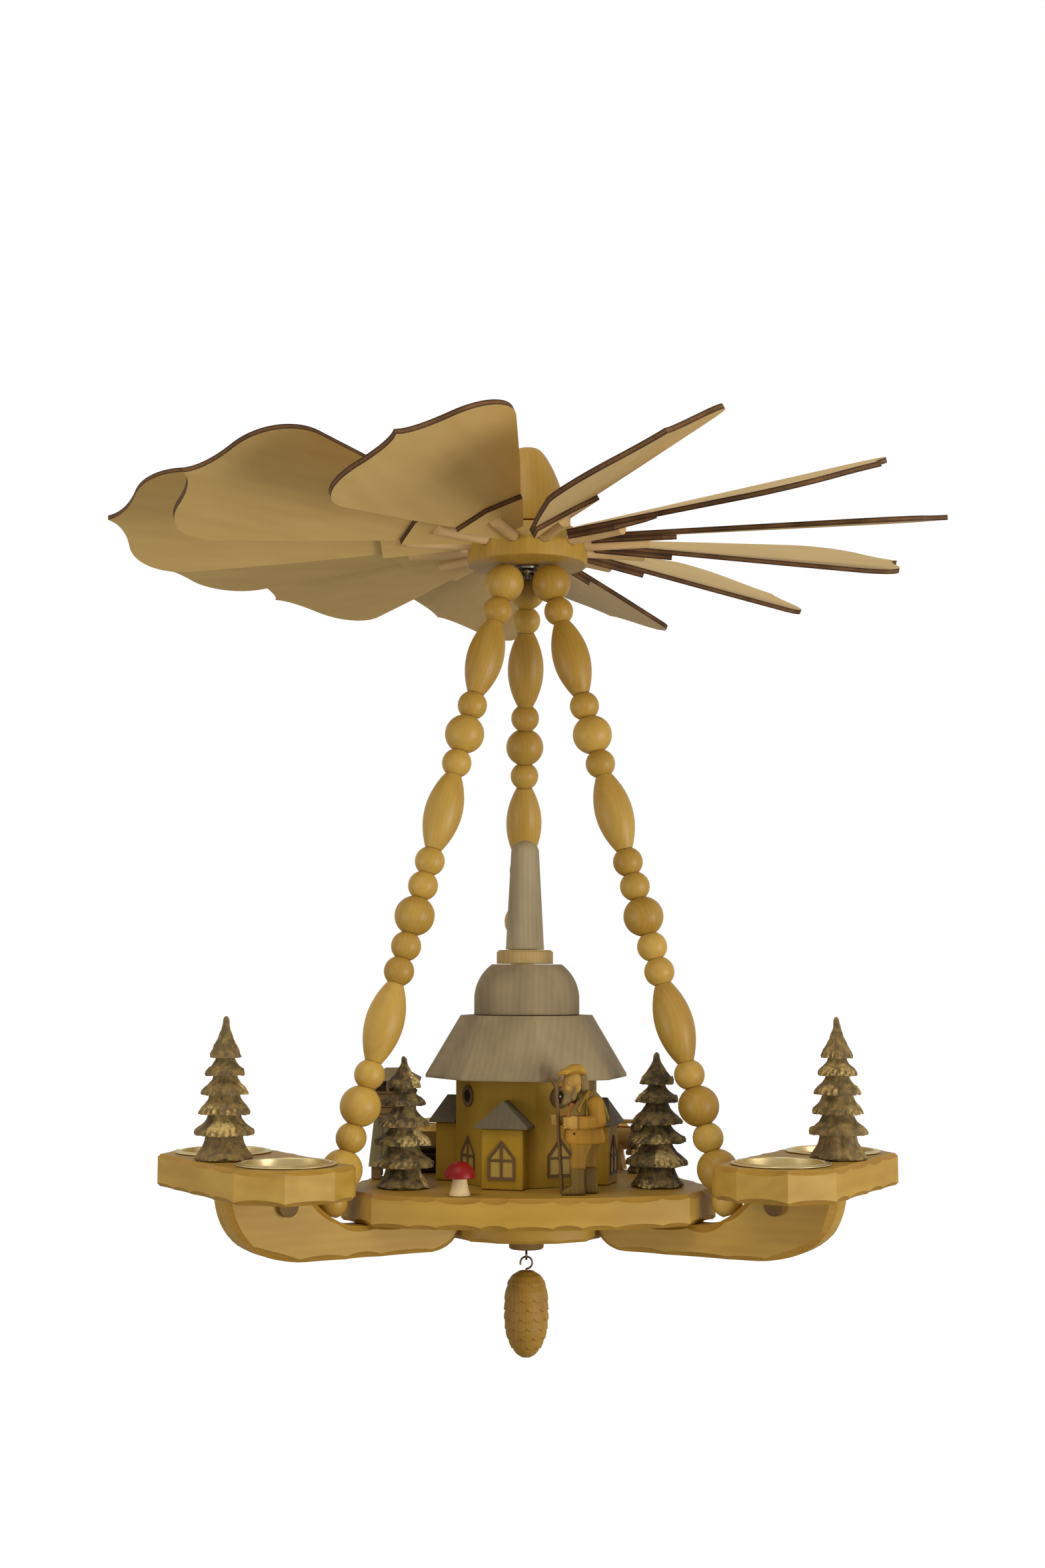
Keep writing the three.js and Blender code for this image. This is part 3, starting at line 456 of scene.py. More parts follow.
def ply_board(bm, outline, height, lift):
    """Three plies stacked from one outline; the cut edges get the charred material, the core its own."""
    face = bm.faces.new([bm.verts.new((x, y, lift)) for x, y in outline])
    if face.normal.z > 0:
        face.normal_flip()
    layer = [face]
    for share, edge_material in ((0.3, 1), (0.4, 2), (0.3, 1)):
        top, lifted = raised(bm, layer, (0, 0, height * share))
        for side in {linked for vertex in lifted for linked in vertex.link_faces} - set(top):
            if abs(side.normal.z) < 0.5:
                side.material_index = edge_material
        if layer[0] is not face:
            bmesh.ops.delete(bm, geom=layer, context="FACES_ONLY")
        layer = top
    face_out(bm)


charred = wood("charred_ply_edge", "#5a3d22", "#2e1c0e", ring_mm=1, figure=0.8, roughness=0.85)
core = wood("ply_core_edge", "#7a5630", "#4a3019", ring_mm=1, figure=0.8, roughness=0.85)
blade_swings = [1.9, 1.2, 0, -0.7, -1.3, -2.1, -1.2, -1.8, -0.8, 0, 2.2, 3]
blade_pitches = [19.9, 25.5, 21.4, 24.9, 14.9, 9.3, 21.1, 23.9, 24.2, 29.8, 19.7, 12.5]
half_edge = blade_edge()
plate_reach = plate_shoulder - blade_root
plate_half = blade_root_half + (knee_half - blade_root_half) * plate_reach / (knee - blade_root)
outline = [(p.x, -p.y) for p in half_edge] + [(p.x, p.y) for p in reversed(half_edge[:-1])]
for number, (azimuth, pitch, swing) in enumerate(zip(blade_azimuths, blade_pitches, blade_swings)):
    blade_bm = bmesh.new()
    ply_board(blade_bm, outline, ply, plate_lift + ply)
    ply_board(blade_bm, [(blade_root, -blade_root_half), (plate_shoulder, -plate_half), (plate_point, 0),
                         (plate_shoulder, plate_half), (blade_root, blade_root_half)], ply, plate_lift)
    peg = spun([(0, peg_inner), (peg_radius, peg_inner), (peg_radius, peg_bend), (peg_radius, peg_tip),
                (0, peg_tip)], 28)
    merge(blade_bm, peg, onto_x, 3)
    outside = [vertex for vertex in blade_bm.verts if vertex.co.x > peg_bend + 0.5 * mm]
    bmesh.ops.rotate(blade_bm, verts=outside, cent=(peg_bend, 0, 0),
                     matrix=Matrix.Rotation(radians(swing), 3, "Z"))
    move(blade_bm, about(azimuth, 0, 0, peg_z) @ Matrix.Rotation(radians(pitch), 4, "X"))
    outward = (cos(radians(azimuth)), sin(radians(azimuth)), 0)
    veneer = wood(f"birch_veneer_{number + 1}", "#d3b36f", "#b5904f", ring_mm=9, figure=0.3,
                  roughness=0.55,
                  along=outward, shift=(0.11 + 0.013 * number, 0.04 - 0.009 * number, 0.02 * number))
    peg_wood = wood(f"beech_peg_{number + 1}", "#dcb982", "#b48c55", ring_mm=1.5, figure=0.6,
                    along=outward, shift=(0.02 * number, 0, 0))
    node_name = f"blade_{number + 1:02d}"
    piece(f"vane_{number + 1:02d}", blade_bm, [veneer, charred, core, peg_wood], [node_name],
          f"{node_name}_body")


# Strings of beads. Eighteen beads of lacquered beech hang on each cord: 20 mm and 15 mm balls and long
# olives, threaded tight. Each bead is turned with a small flat round its bore.
string_order = "LSOSLSOSSLSSOSLSLS"
small_radius, small_length = 7.5 * mm, 12.96 * mm
large_radius, large_length = 10.03 * mm, 18.64 * mm
olive_radius, olive_end, olive_length = 9.6 * mm, 4.2 * mm, 39.7 * mm
bead_lengths = {"S": small_length, "L": large_length, "O": olive_length}
bore_radius = 1.5 * mm
string_top, string_foot, string_sag = 14.13 * mm, 109.8 * mm, 1.5 * mm
string_length = sum(bead_lengths[kind] for kind in string_order)
gap = 0.3 * mm
top_z = hub_low.z - large_radius - gap
drop = sqrt((string_length - (large_length + small_length) / 2) ** 2 - (string_foot - string_top) ** 2)
foot_z = top_z - drop


def bead_outline(kind):
    """One bead about its bore, centred on zero."""
    half = bead_lengths[kind] / 2
    if kind == "O":
        swell = olive_radius - olive_end
        curve = [(olive_end + swell * (1 - (1 - 2 * t) ** 2), half * (2 * t - 1))
                 for t in (k / 24 for k in range(25))]
    else:
        radius = small_radius if kind == "S" else large_radius
        sweep = asin(half / radius)
        curve = [(radius * cos(sweep * (2 * k / 20 - 1)), radius * sin(sweep * (2 * k / 20 - 1)))
                 for k in range(21)]
    neck = 0.6 * mm
    return [(0, -half + 2 * neck), (bore_radius, -half + 2 * neck), (bore_radius, -half), *curve,
            (bore_radius, half), (bore_radius, half - 2 * neck), (0, half - 2 * neck)]


side_azimuths = {"back": 90, "left": 210, "right": 330}
for side, azimuth in side_azimuths.items():
    arm_turn = about(azimuth)
    chord = Vector((string_foot - string_top, 0, foot_z - top_z)).normalized()
    inward = Vector((0, 1, 0)).cross(chord)
    start = Vector((string_top, 0, top_z)) - chord * large_length / 2

    def on_string(station):
        share = station / string_length
        return start + chord * station + inward * (4 * string_sag * share * (1 - share))

    string_bm = bmesh.new()
    bead_chance = Random(azimuth)
    tone = string_bm.verts.layers.float.new("tone")
    station = 0
    for count, kind in enumerate(string_order):
        length = bead_lengths[kind]
        ends = on_string(station), on_string(station + length)
        centre, axis = (ends[0] + ends[1]) / 2, (ends[1] - ends[0]).normalized()
        roll = Matrix.Rotation(count * 2.4 + azimuth, 4, "Z")
        aim = Vector((0, 0, 1)).rotation_difference(axis).to_matrix().to_4x4()
        seat = Matrix.Translation(centre) @ aim @ roll
        before = len(string_bm.verts)
        merge(string_bm, spun(bead_outline(kind), 44), arm_turn @ seat)
        string_bm.verts.ensure_lookup_table()
        shade = bead_chance.random()
        for vertex in string_bm.verts[before:]:
            vertex[tone] = shade
        station += length
    outward = arm_turn @ chord
    bead_wood = wood(f"beech_beads_{side}", "#bd9744", "#987227", ring_mm=2.2, roughness=0.4,
                     along=outward, tone="tone", bump=0.2)
    piece(f"beads_{side}", string_bm, [bead_wood], [f"bead_string_{side}"], crease=40)


# Arms. Three brackets sawn from limewood carry the trays from the base block. Both edges are chamfered
# with a knife in long scoops, a beech dowel goes through each elbow, and a cup in the top takes the
# string's last bead.
def carved_board(outline, thickness, cut_mm, depth, seed):
    """A board from z = 0 to its thickness, its edges chamfered with a knife in shallow scoops."""
    chance = Random(seed)
    bm = bmesh.new()
    bite = bm.verts.layers.float.new("bite")
    corners = [Vector(point) for point in outline]
    count = len(corners)
    area = sum(corners[k - 1].cross(corners[k]) for k in range(count))
    inside_angles = []
    for k, corner in enumerate(corners):
        back, ahead = corners[k - 1] - corner, corners[(k + 1) % count] - corner
        convex = back.cross(ahead) * area < 0
        inside_angles.append(back.angle(ahead) if convex else 2 * pi - back.angle(ahead))
    sharp = [k for k in range(count) if abs(inside_angles[k] - pi) > radians(20)]
    ring = []
    for first, last in zip(sharp, sharp[1:] + [sharp[0] + count]):
        run = [corners[k % count] for k in range(first, last + 1)]
        reached = [0]
        for start, end in zip(run, run[1:]):
            reached.append(reached[-1] + (end - start).length)
        widening = [tan(angle / 2) if angle < pi else 1000
                    for angle in (inside_angles[first], inside_angles[last % count])]
        cuts = max(1, round(reached[-1] / (cut_mm * mm)))
        stations = [(k + (chance.uniform(-0.2, 0.2) if 0 < k < cuts else 0)) / cuts
                    for k in range(cuts + 1)]
        for near, far in zip(stations, stations[1:]):
            width = chance.uniform(0.8, 1.15)
            for k in range(8):
                along = reached[-1] * (near + (far - near) * k / 8)
                room = min(along * widening[0], (reached[-1] - along) * widening[1]) / depth
                if along > 0 and room < 0.55:
                    continue
                leg = next(i for i in range(1, len(run)) if along <= reached[i] + 1e-9)
                spot = run[leg - 1].lerp(run[leg],
                                         (along - reached[leg - 1]) / (reached[leg] - reached[leg - 1]))
                corner = bm.verts.new((*spot, 0))
                corner[bite] = 0.5 + (width - 0.5) * sin(pi * k / 8) ** 0.7
                if along > 0:
                    corner[bite] = min(corner[bite], room)
                ring.append(corner)
    faces = [bm.faces.new(ring)]
    faces += raised(bm, faces, (0, 0, thickness))[0]
    face_out(bm)
    chamfers = bmesh.ops.inset_region(bm, faces=faces, thickness=depth, use_even_offset=True)["faces"]
    bands = []
    for face, upward in zip(faces, (-1, 1)):
        inside = set(face.verts)
        for vertex in face.verts:
            spoke = next(edge for edge in vertex.link_edges if edge.other_vert(vertex) not in inside)
            rim = spoke.other_vert(vertex)
            vertex.co = rim.co.lerp(vertex.co, vertex[bite])
            rim.co.z -= upward * depth * vertex[bite]
            bands.append(spoke)
    for face in chamfers:
        face.material_index = 1
    split = bmesh.ops.subdivide_edges(bm, edges=bands, cuts=1)["geom_inner"]
    bm.normal_update()
    for vertex in [item for item in split if isinstance(item, bmesh.types.BMVert)]:
        vertex.co -= vertex.normal * depth * 0.1 * vertex[bite]
    return bm


def knife_cut(name, along):
    """The darker wood that a knife's cut lays bare."""
    return wood(name, "#ad8530", "#8a601a", ring_mm=3, figure=0.5, roughness=0.6, along=along)


def curve_points(start, first, second, end, count):
    """Points on a Bezier curve in the plane, without its first."""
    curve = interpolate_bezier(Vector(start), Vector(first), Vector(second), Vector(end), count)
    return [tuple(p)[:2] for p in curve[1:]]


onto_y = Matrix.Rotation(pi / 2, 4, "X")
arm_top = foot_z - small_radius - gap - 3.3 * mm
arm_bottom = arm_top - 15 * mm
tray_bottom = arm_top + 18.5 * mm
tray_under = tray_bottom - gap
arm_inner, arm_outer, arm_bottom_end = 42.9 * mm, 167.6 * mm, 123 * mm
arm_width = 18 * mm
dowel_radius, dowel_x, dowel_drop, dowel_proud = 4.9 * mm, 137.8 * mm, 6.4 * mm, 3 * mm
arm_outline = [
    (arm_inner, arm_bottom + 11 * mm),
    *curve_points((arm_inner, arm_bottom + 11 * mm), (arm_inner + 1.4 * mm, arm_bottom + 3.7 * mm),
                  (arm_inner + 8.5 * mm, arm_bottom), (arm_inner + 17 * mm, arm_bottom), 10),
    (arm_bottom_end, arm_bottom), *curve_points((arm_bottom_end, arm_bottom),
                  (arm_bottom_end + (arm_outer - arm_bottom_end) * 0.63, arm_bottom),
                  (arm_outer, arm_bottom + (tray_under - arm_bottom) * 0.36), (arm_outer, tray_under),
                  16),
    *curve_points((arm_outer, tray_under), (150 * mm, tray_under), (140 * mm, tray_under),
                  (127 * mm, tray_under), 4)[-1:],
    *curve_points((127 * mm, tray_under), (117.3 * mm, tray_under - 12.3 * mm), (107.7 * mm, arm_top),
                  (98 * mm, arm_top), 12),
    (arm_inner, arm_top),
]
dowel_wood = wood("beech_dowel", "#7a5a26", "#523a15", ring_mm=1.2, figure=0.7, roughness=0.6,
                  along=(0, 1, 0))
for side, azimuth in side_azimuths.items():
    arm_bm = carved_board(arm_outline, arm_width, 24, 3 * mm, azimuth)
    move(arm_bm, about(azimuth, 0, arm_width / 2, 0) @ onto_y)
    dowel_bm = spun(rounded([(0, -arm_width / 2 - dowel_proud),
                             (dowel_radius, -arm_width / 2 - dowel_proud, 1),
                             (dowel_radius, arm_width / 2 + dowel_proud, 1),
                             (0, arm_width / 2 + dowel_proud)], 0.4 * mm), 48)
    merge(arm_bm, dowel_bm, about(azimuth, dowel_x, 0, tray_under - dowel_drop) @ onto_y, 2)
    outward = (cos(radians(azimuth)), sin(radians(azimuth)), 0)
    arm_wood = wood(f"limewood_arm_{side}", lime_pale, lime_deep, ring_mm=5, along=outward,
                    shift=(0.08, 0.03, 0.01))
    arm_cut = knife_cut(f"knife_cut_arm_{side}", outward)
    arm = piece(f"bracket_{side}", arm_bm, [arm_wood, arm_cut, dowel_wood], [f"arm_{side}"],
                crease=24)
    seat = bmesh.new()
    bmesh.ops.create_uvsphere(seat, u_segments=40, v_segments=24, radius=small_radius + gap)
    move(seat, about(azimuth, string_foot, 0, foot_z))
    cut(arm, [seat])


# Candle trays. Ten-sided limewood boards, knife-chamfered all round in long scoops, each with two round
# pockets for the brass cups. They are glued down on the arms.
tray_thickness = 15.3 * mm
tray_top = tray_bottom + tray_thickness
tray_corners = [(123, 50.5), (126.5, 55.5), (140.4, 64.4), (164.6, 64.1), (180.6, 45.5)]
tray_half = [(x * mm, y * mm) for x, y in tray_corners]
tray_outline = [(x, -y) for x, y in tray_half] + tray_half[::-1]
cup_x, cup_y, pocket_radius, pocket_depth = 150.8 * mm, 35.9 * mm, 20.7 * mm, 11.8 * mm
for side, azimuth in side_azimuths.items():
    tray_bm = carved_board(tray_outline, tray_thickness, 21, 2.4 * mm, azimuth)
    move(tray_bm, about(azimuth, 0, 0, tray_bottom))
    across = (-sin(radians(azimuth)), cos(radians(azimuth)), 0)
    tray_wood = wood(f"limewood_tray_{side}", lime_pale, lime_deep, ring_mm=7, figure=0.55, along=across,
                     shift=(0.1, 0.02, 0.05))
    tray_cut = knife_cut(f"knife_cut_tray_{side}", across)
    tray = piece(f"candle_tray_{side}", tray_bm, [tray_wood, tray_cut], [f"tray_{side}"],
                 crease=24)
    pockets = []
    for cup_side in (cup_y, -cup_y):
        pocket = bmesh.new()
        bmesh.ops.create_cone(pocket, cap_ends=True, segments=72, radius1=pocket_radius,
                              radius2=pocket_radius, depth=2 * pocket_depth)
        move(pocket, about(azimuth, cup_x, cup_side, tray_top))
        pockets.append(pocket)
    cut(tray, pockets)


# Candle cups. Pressed from thin brass sheet: a flat flange with a rolled inner lip, a straight wall and a
# flat floor with a shallow ring. They drop into the trays' pockets.
brass = cleared(bpy.data.materials.new("pressed_brass"))
brass_smudges = speckle(brass, object_place(brass), 9, 3.0)
brass_worn = add_node(brass, "ShaderNodeMapRange",
                      {"Value": brass_smudges, "From Min": 0.3, "From Max": 0.7,
                      "To Min": 0.36, "To Max": 0.5}).outputs[0]
brass_colour = blend(brass, brass_smudges, linear("#ecdba8"), linear("#d6bf86"))
finished(brass, Base_Color=brass_colour, Metallic=1.0, Roughness=brass_worn)
cup_outline = rounded([
    (0, -11.5 * mm), (20.4 * mm, -11.5 * mm, 2), (20.4 * mm, 0.3 * mm), (23.0 * mm, 0.3 * mm, 1),
    (23.25 * mm, 0.6 * mm, 1),
    (23.0 * mm, 0.9 * mm, 1), (21.4 * mm, 0.9 * mm, 1), (20.7 * mm, 1.6 * mm, 1.5),
    (19.9 * mm, 1.3 * mm, 1), (19.8 * mm, -10.9 * mm, 2),
    (15.5 * mm, -10.9 * mm, 1), (15.1 * mm, -10.6 * mm, 1), (14.7 * mm, -10.9 * mm, 1), (0, -10.9 * mm)],
    0.4 * mm)
for side, azimuth in side_azimuths.items():
    for letter, cup_side in (("a", cup_y), ("b", -cup_y)):
        cup_bm = spun(cup_outline, 112)
        piece(f"cup_{side}_{letter}", move(cup_bm, about(azimuth, cup_x, cup_side, tray_top)), [brass],
              [f"candle_cup_{side}_{letter}"], crease=50)


# Figure plate. A limewood board with three bowed sides, knife-chamfered in long scoops; the church stands
# on its middle and it rests on the base block and the arms.
def three_sided(side, flat, half_flat):
    """Bowed sides between three short flats; the flats face the arms."""
    reach = hypot(flat, half_flat)
    swing = radians(60) - atan2(half_flat, flat)
    half_chord = reach * sin(swing)
    bow = side - reach * cos(swing)
    bow_radius = (half_chord ** 2 + bow ** 2) / (2 * bow)
    half_angle = asin(half_chord / bow_radius)
    points = []
    for middle_azimuth in (150, 270, 30):
        for k in range(25):
            angle = half_angle * (k / 12 - 1)
            point = Vector((side - bow_radius + bow_radius * cos(angle), bow_radius * sin(angle), 0))
            points.append(tuple(Matrix.Rotation(radians(middle_azimuth), 3, "Z") @ point)[:2])
    return points


plate_bottom = arm_top + gap
plate_top = plate_bottom + 15 * mm
figure_plate_bm = carved_board(three_sided(80 * mm, 97 * mm, 16 * mm), 15 * mm, 17, 2.5 * mm, 5)
move(figure_plate_bm, Matrix.Translation((0, 0, plate_bottom)))
plate_wood = wood("limewood_plate", lime_pale, lime_deep, ring_mm=8, along=(1, 0, 0),
                  shift=(0.03, 0.09, 0.04))
plate_cut = knife_cut("knife_cut_plate", (1, 0, 0))
piece("village_plate", figure_plate_bm, [plate_wood, plate_cut], ["figure_plate"], crease=24)


# Base block. A smaller board of the same shape under the plate; the arms butt against its three flats,
# and the bottom cap is glued beneath it.
base_low, base_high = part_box("base_block")
base_bm = carved_board(three_sided(45 * mm, 42.6 * mm, 15.8 * mm), base_high.z - base_low.z, 16, 2.0 * mm,
                       8)
piece("base_board", move(base_bm, Matrix.Translation((0, 0, base_low.z))), [plate_wood, plate_cut],
      ["base_block"], crease=24)


# Bottom cap. A turned disc of stained wood glued under the base block, with a screw eye of bronze-dark
# steel wire in its middle.
cap_low, cap_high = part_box("bottom_cap")
cap_radius = (cap_high.x - cap_low.x) / 2
cap_wood = wood("stained_cap", "#86652c", "#5c4218", ring_mm=2, figure=0.6, roughness=0.6)
piece("turned_cap", spun(rounded([(0, cap_low.z), (cap_radius, cap_low.z, 1),
                                  (cap_radius, cap_high.z, 0.3), (0, cap_high.z)],
                                 1.4 * mm), 72), [cap_wood], ["bottom_cap"])


def wire(points, radius):
    """A round wire along a smooth path, closed at both ends."""
    curve = bpy.data.curves.new("wire", "CURVE")
    curve.dimensions = "3D"
    curve.bevel_depth = radius
    curve.bevel_resolution = 4
    curve.use_fill_caps = True
    path = curve.splines.new("POLY")
    path.points.add(len(points) - 1)
    for target, point in zip(path.points, points):
        target.co = (*point, 1)
    bent_wire = bpy.data.objects.new("wire", curve)
    made = bpy.data.meshes.new_from_object(bent_wire)
    bm = bmesh.new()
    bm.from_mesh(made)
    bpy.data.objects.remove(bent_wire)
    bpy.data.meshes.remove(made)
    bmesh.ops.remove_doubles(bm, verts=bm.verts, dist=1e-6)
    return face_out(bm)


bronze_wire = steel("bronze_wire", "#6b5a40", 0.38)
eye_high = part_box("screw_eye")[1]
eye_wire, eye_radius = 0.55 * mm, 2.05 * mm
eye_centre = eye_high.z - 0.8 * mm - eye_radius
eye_path = [(0, 0, eye_high.z)]
for k in range(41):
    angle = radians(90 + 335 * k / 40)
    eye_path.append((0, eye_radius * cos(angle), eye_centre + eye_radius * sin(angle)))
piece("eye_wire", wire(eye_path, eye_wire), [bronze_wire], ["screw_eye"], crease=60)


# Cone and hook. The hook is bent from thin wire and hangs in the eye. The fir cone is carved from one
# piece of wood in seven rows of scales below a smooth cap, and stained golden brown in the cuts.
hook_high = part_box("cone_hook")[1]
hook_wire, hook_radius, hook_shank = 0.5 * mm, 3 * mm, 0.9 * mm
hook_centre = hook_high.z - hook_wire - hook_radius
hook_path = [(0, 0, hook_centre - hook_radius - hook_shank)]
for k in range(41):
    angle = radians(-90 + 290 * k / 40)
    hook_path.append((hook_radius * cos(angle), 0, hook_centre + hook_radius * sin(angle)))
piece("hook_wire", wire(hook_path, hook_wire), [bronze_wire], ["cone_hook"], "cone_pendant",
      crease=60)

cone_low, cone_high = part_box("pine_cone")
cone_height = cone_high.z - cone_low.z
cone_radius = 11.6 * mm
cone_rows, scales_round, row_pitch, scallop = 7, 10, 0.112, 0.045
girth = [(0.0, 0.18), (0.03, 0.38), (0.08, 0.56), (0.16, 0.73), (0.3, 0.9), (0.45, 0.95), (0.62, 0.95),
         (0.78, 0.9), (0.88, 0.78), (0.95, 0.6), (1.0, 0.3)]


def on_girth(share):
    """The cone's smooth radius at a share of its height."""
    for (low_share, low_radius), (high_share, high_radius) in zip(girth, girth[1:]):
        if share <= high_share:
            return low_radius + (high_radius - low_radius) * (share - low_share) / (high_share - low_share)
    return girth[-1][1]


cone_outline = [(0, 0), *[(on_girth(k / 150), k / 150) for k in range(151)], (0, 1)]
cone_bm = spun([(radius * cone_radius, cone_low.z + share * cone_height)
                for radius, share in cone_outline], 176)
for vertex in cone_bm.verts:
    share = (vertex.co.z - cone_low.z) / cone_height
    radius = hypot(vertex.co.x, vertex.co.y)
    if radius < 0.5 * mm:
        continue
    angle = atan2(vertex.co.y, vertex.co.x)
    above = 0.845 + 0.02 * sin(angle * 8 + 1) + 0.012 * sin(angle * 3)
    lift = 1.1 if share > above else 0.1
    for row in range(cone_rows):
        if share > above:
            break
        swing = (angle / (2 * pi) * scales_round + 0.5 * (row % 2)) % 1 * 2 - 1
        rim = 0.82 - (row + 1) * row_pitch - scallop * sqrt(1 - swing ** 2)
        if share > rim:
            lift = 0.1 + 1.1 * (above - share) / (above - rim)
        above = rim
    grown_radius = radius + (lift - 0.6) * 0.6 * mm
    vertex.co.x *= grown_radius / radius
    vertex.co.y *= grown_radius / radius
cone_wood = wood("carved_cone", "#ab8230", "#7b5819", ring_mm=1.6, figure=0.7, roughness=0.55)
piece("fir_cone", cone_bm, [cone_wood], ["pine_cone"], "cone_pendant", crease=48)


# Church body. An eight-sided block of yellow-stained limewood with its corners just broken. Four walls
# carry a pointed window of dark-stained wood with four pale panes, and a turned round one above it.
def prism(corners, low, high, edge=0):
    """An upright prism on a ring of corners, with its long edges broken."""
    bm = bmesh.new()
    foot = bm.faces.new([bm.verts.new((*corner, low)) for corner in corners])
    raised(bm, [foot], (0, 0, high - low))
    face_out(bm)
    if edge:
        upright = [e for e in bm.edges if abs(e.verts[0].co.z - e.verts[1].co.z) > (high - low) / 2]
        broken(bm, upright, edge)
    return bm


def slab(bm, low, high, index=0, edge=0.15, turn=Matrix()):
    """Adds a box between two corners, in millimetres of the piece, with its edges a little broken."""
    made = bmesh.new()
    bmesh.ops.create_cube(made, size=1)
    size = Vector(high) - Vector(low)
    bmesh.ops.scale(made, verts=made.verts, vec=size)
    broken(made, made.edges[:], min(edge, min(size) / 3), 1)
    merge(bm, made, turn @ Matrix.Translation((Vector(low) + Vector(high)) / 2), index)


def pointed_window(bm, wall):
    """A pointed frame with a cross of bars over four panes; the wall's matrix has X out and is in mm."""
    window = bmesh.new()
    outline = [(-7, 0), (7, 0), (7, 10.6), (0, 19.2), (-7, 10.6)]
    foot = window.faces.new([window.verts.new((0, y, z)) for y, z in outline])
    front = raised(window, [foot], (0.8, 0, 0))[0][0]
    face_out(window)
    for face in window.faces:
        face.material_index = 1
    bmesh.ops.inset_region(window, faces=[front], thickness=1.55, use_even_offset=True)
    bmesh.ops.translate(window, verts=front.verts, vec=(-0.55, 0, 0))
    front.material_index = 2
    slab(window, (0.1, -0.65, 1), (0.72, 0.65, 17.6), 1, 0.1)
    slab(window, (0.1, -6, 8.8), (0.66, 6, 10.1), 1, 0.1)
    merge(bm, window, wall)


corner_azimuth = 275


def octagon(radius):
    """The corners of the church's eight-sided plan."""
    angles = [radians(corner_azimuth + 45 * k) for k in range(8)]
    return [(radius * cos(angle), radius * sin(angle)) for angle in angles]


def stood(x, y, azimuth=0):
    """A place on the figure plate, in millimetres."""
    spot = Matrix.Translation((x * mm, y * mm, plate_top + gap)) @ about(azimuth)
    return spot @ Matrix.Scale(mm, 4)


yellow_wood = wood("yellow_stained_wall", "#af881b", "#8a670e", ring_mm=4, figure=0.45, roughness=0.6)
frame_wood = wood("brown_stained_frame", "#765932", "#4d381e", ring_mm=2, figure=0.6, roughness=0.7)
pane_wood = wood("pale_window_pane", "#b59742", "#967932", ring_mm=2, figure=0.4)
# Near-black: the dark stain of the pipe and the buttons, and painted shade in the rosettes' middles.
dark_stain_and_painted_hole_shade = wood("dark_stain_and_painted_recess_shade", "#2b1f12", "#1b130a", ring_mm=2, figure=0.4, roughness=0.9)
body_radius, body_height = 36.3, 52
wall_out = body_radius * cos(pi / 8)
church_bm = bmesh.new()
merge(church_bm, prism(octagon(body_radius), 0, body_height, 0.6))
for k in range(1, 8, 2):
    facing = about(corner_azimuth - 22.5 + 45 * k, wall_out, 0, 0)
    pointed_window(church_bm, facing @ Matrix.Translation((0, 0, 4.6)))
    ring_bm = spun([(0, 0), (5.4, 0), (5.4, 0.7), (5.1, 0.95), (4.3, 0.95), (3.1, 0.7), (2.9, 0.3),
                    (0, 0.3)], 48)
    # The rosette's flat middle takes the near-black material: painted shade of a hole.
    for face in ring_bm.faces:
        middle_of = face.calc_center_median()
        face.material_index = 3 if hypot(middle_of.x, middle_of.y) < 3 and middle_of.z > 0.2 else 1
    merge(church_bm, ring_bm, facing @ Matrix.Translation((0, 0, 43.6)) @ onto_x)
piece("church_walls", move(church_bm, stood(0, 0)), [yellow_wood, frame_wood, pane_wood, dark_stain_and_painted_hole_shade],
      ["church_body"])


# Church roof, dome, collar and spire. The roof is an eight-sided block planed to a broad taper over a
# thin lip; the dome, the collar and the blunt spire are turned and stand a millimetre off the roof's
# middle.
def tapered(corners_low, corners_high, low, high, lip, edge=0.25):
    """A planed block between two rings of corners, standing on a thin upright lip."""
    bm = prism(corners_low, low, low + lip)
    top = max(bm.faces, key=lambda face: face.calc_center_median().z)
    lifted = raised(bm, [top], (0, 0, 0))[1]
    bmesh.ops.delete(bm, geom=[top] if top.is_valid else [], context="FACES_ONLY")
    for vertex in lifted:
        nearest = min(range(len(corners_low)),
                      key=lambda k: (Vector(corners_low[k]) - vertex.co.xy).length)
        vertex.co = Vector((*corners_high[nearest], high))
    face_out(bm)
    if edge:
        broken(bm, bm.edges[:], edge)
    return bm


grey_wood = wood("grey_stained_roof", "#a28f6a", "#756548", ring_mm=3.2, roughness=0.7)
# The annexes' hip roofs take a darker copy of the roof's grey: painted shade under the church roof's
# overhang.
grey_roof_wood_with_painted_shade = wood("grey_stained_roof_with_painted_shade", "#75674c", "#544a36", ring_mm=3.2,
                      roughness=0.7)
spire_wood = wood("grey_stained_spire", "#b3a37e", "#8a7959", ring_mm=2.4, figure=0.6, roughness=0.7,
                  bump=0.25)
collar_wood = wood("turned_collar", "#bd9f66", "#93763f", ring_mm=2, figure=0.6, roughness=0.6)
roof_low, roof_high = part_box("church_roof")
roof_bm = tapered(octagon(51.9), octagon(34.1), 0, (roof_high.z - roof_low.z) / mm, 1.5)
piece("church_roof_block", move(roof_bm, Matrix.Translation((0, 0, roof_low.z)) @ Matrix.Scale(mm, 4)),
      [grey_wood], ["church_roof"], crease=20)

dome_low, dome_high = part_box("church_dome")
tower_x = -1 * mm
dome_radius, dome_top, dome_height = 27 * mm, 18 * mm, dome_high.z - dome_low.z
dome_side = [(dome_radius, dome_low.z), (dome_radius, dome_low.z + dome_height * 0.3),
             *curve_points((dome_radius, dome_low.z + dome_height * 0.3),
                           (dome_radius, dome_low.z + dome_height * 0.62),
                           (dome_radius - 4.2 * mm, dome_low.z + dome_height * 0.86),
                           (dome_top, dome_high.z), 20)]
piece("dome_turned", spun(rounded([(0, dome_low.z), (dome_radius, dome_low.z, 1), *dome_side[1:],
                                   (0, dome_high.z)], 0.4 * mm), 144),
      [grey_wood], ["church_dome"], crease=28)

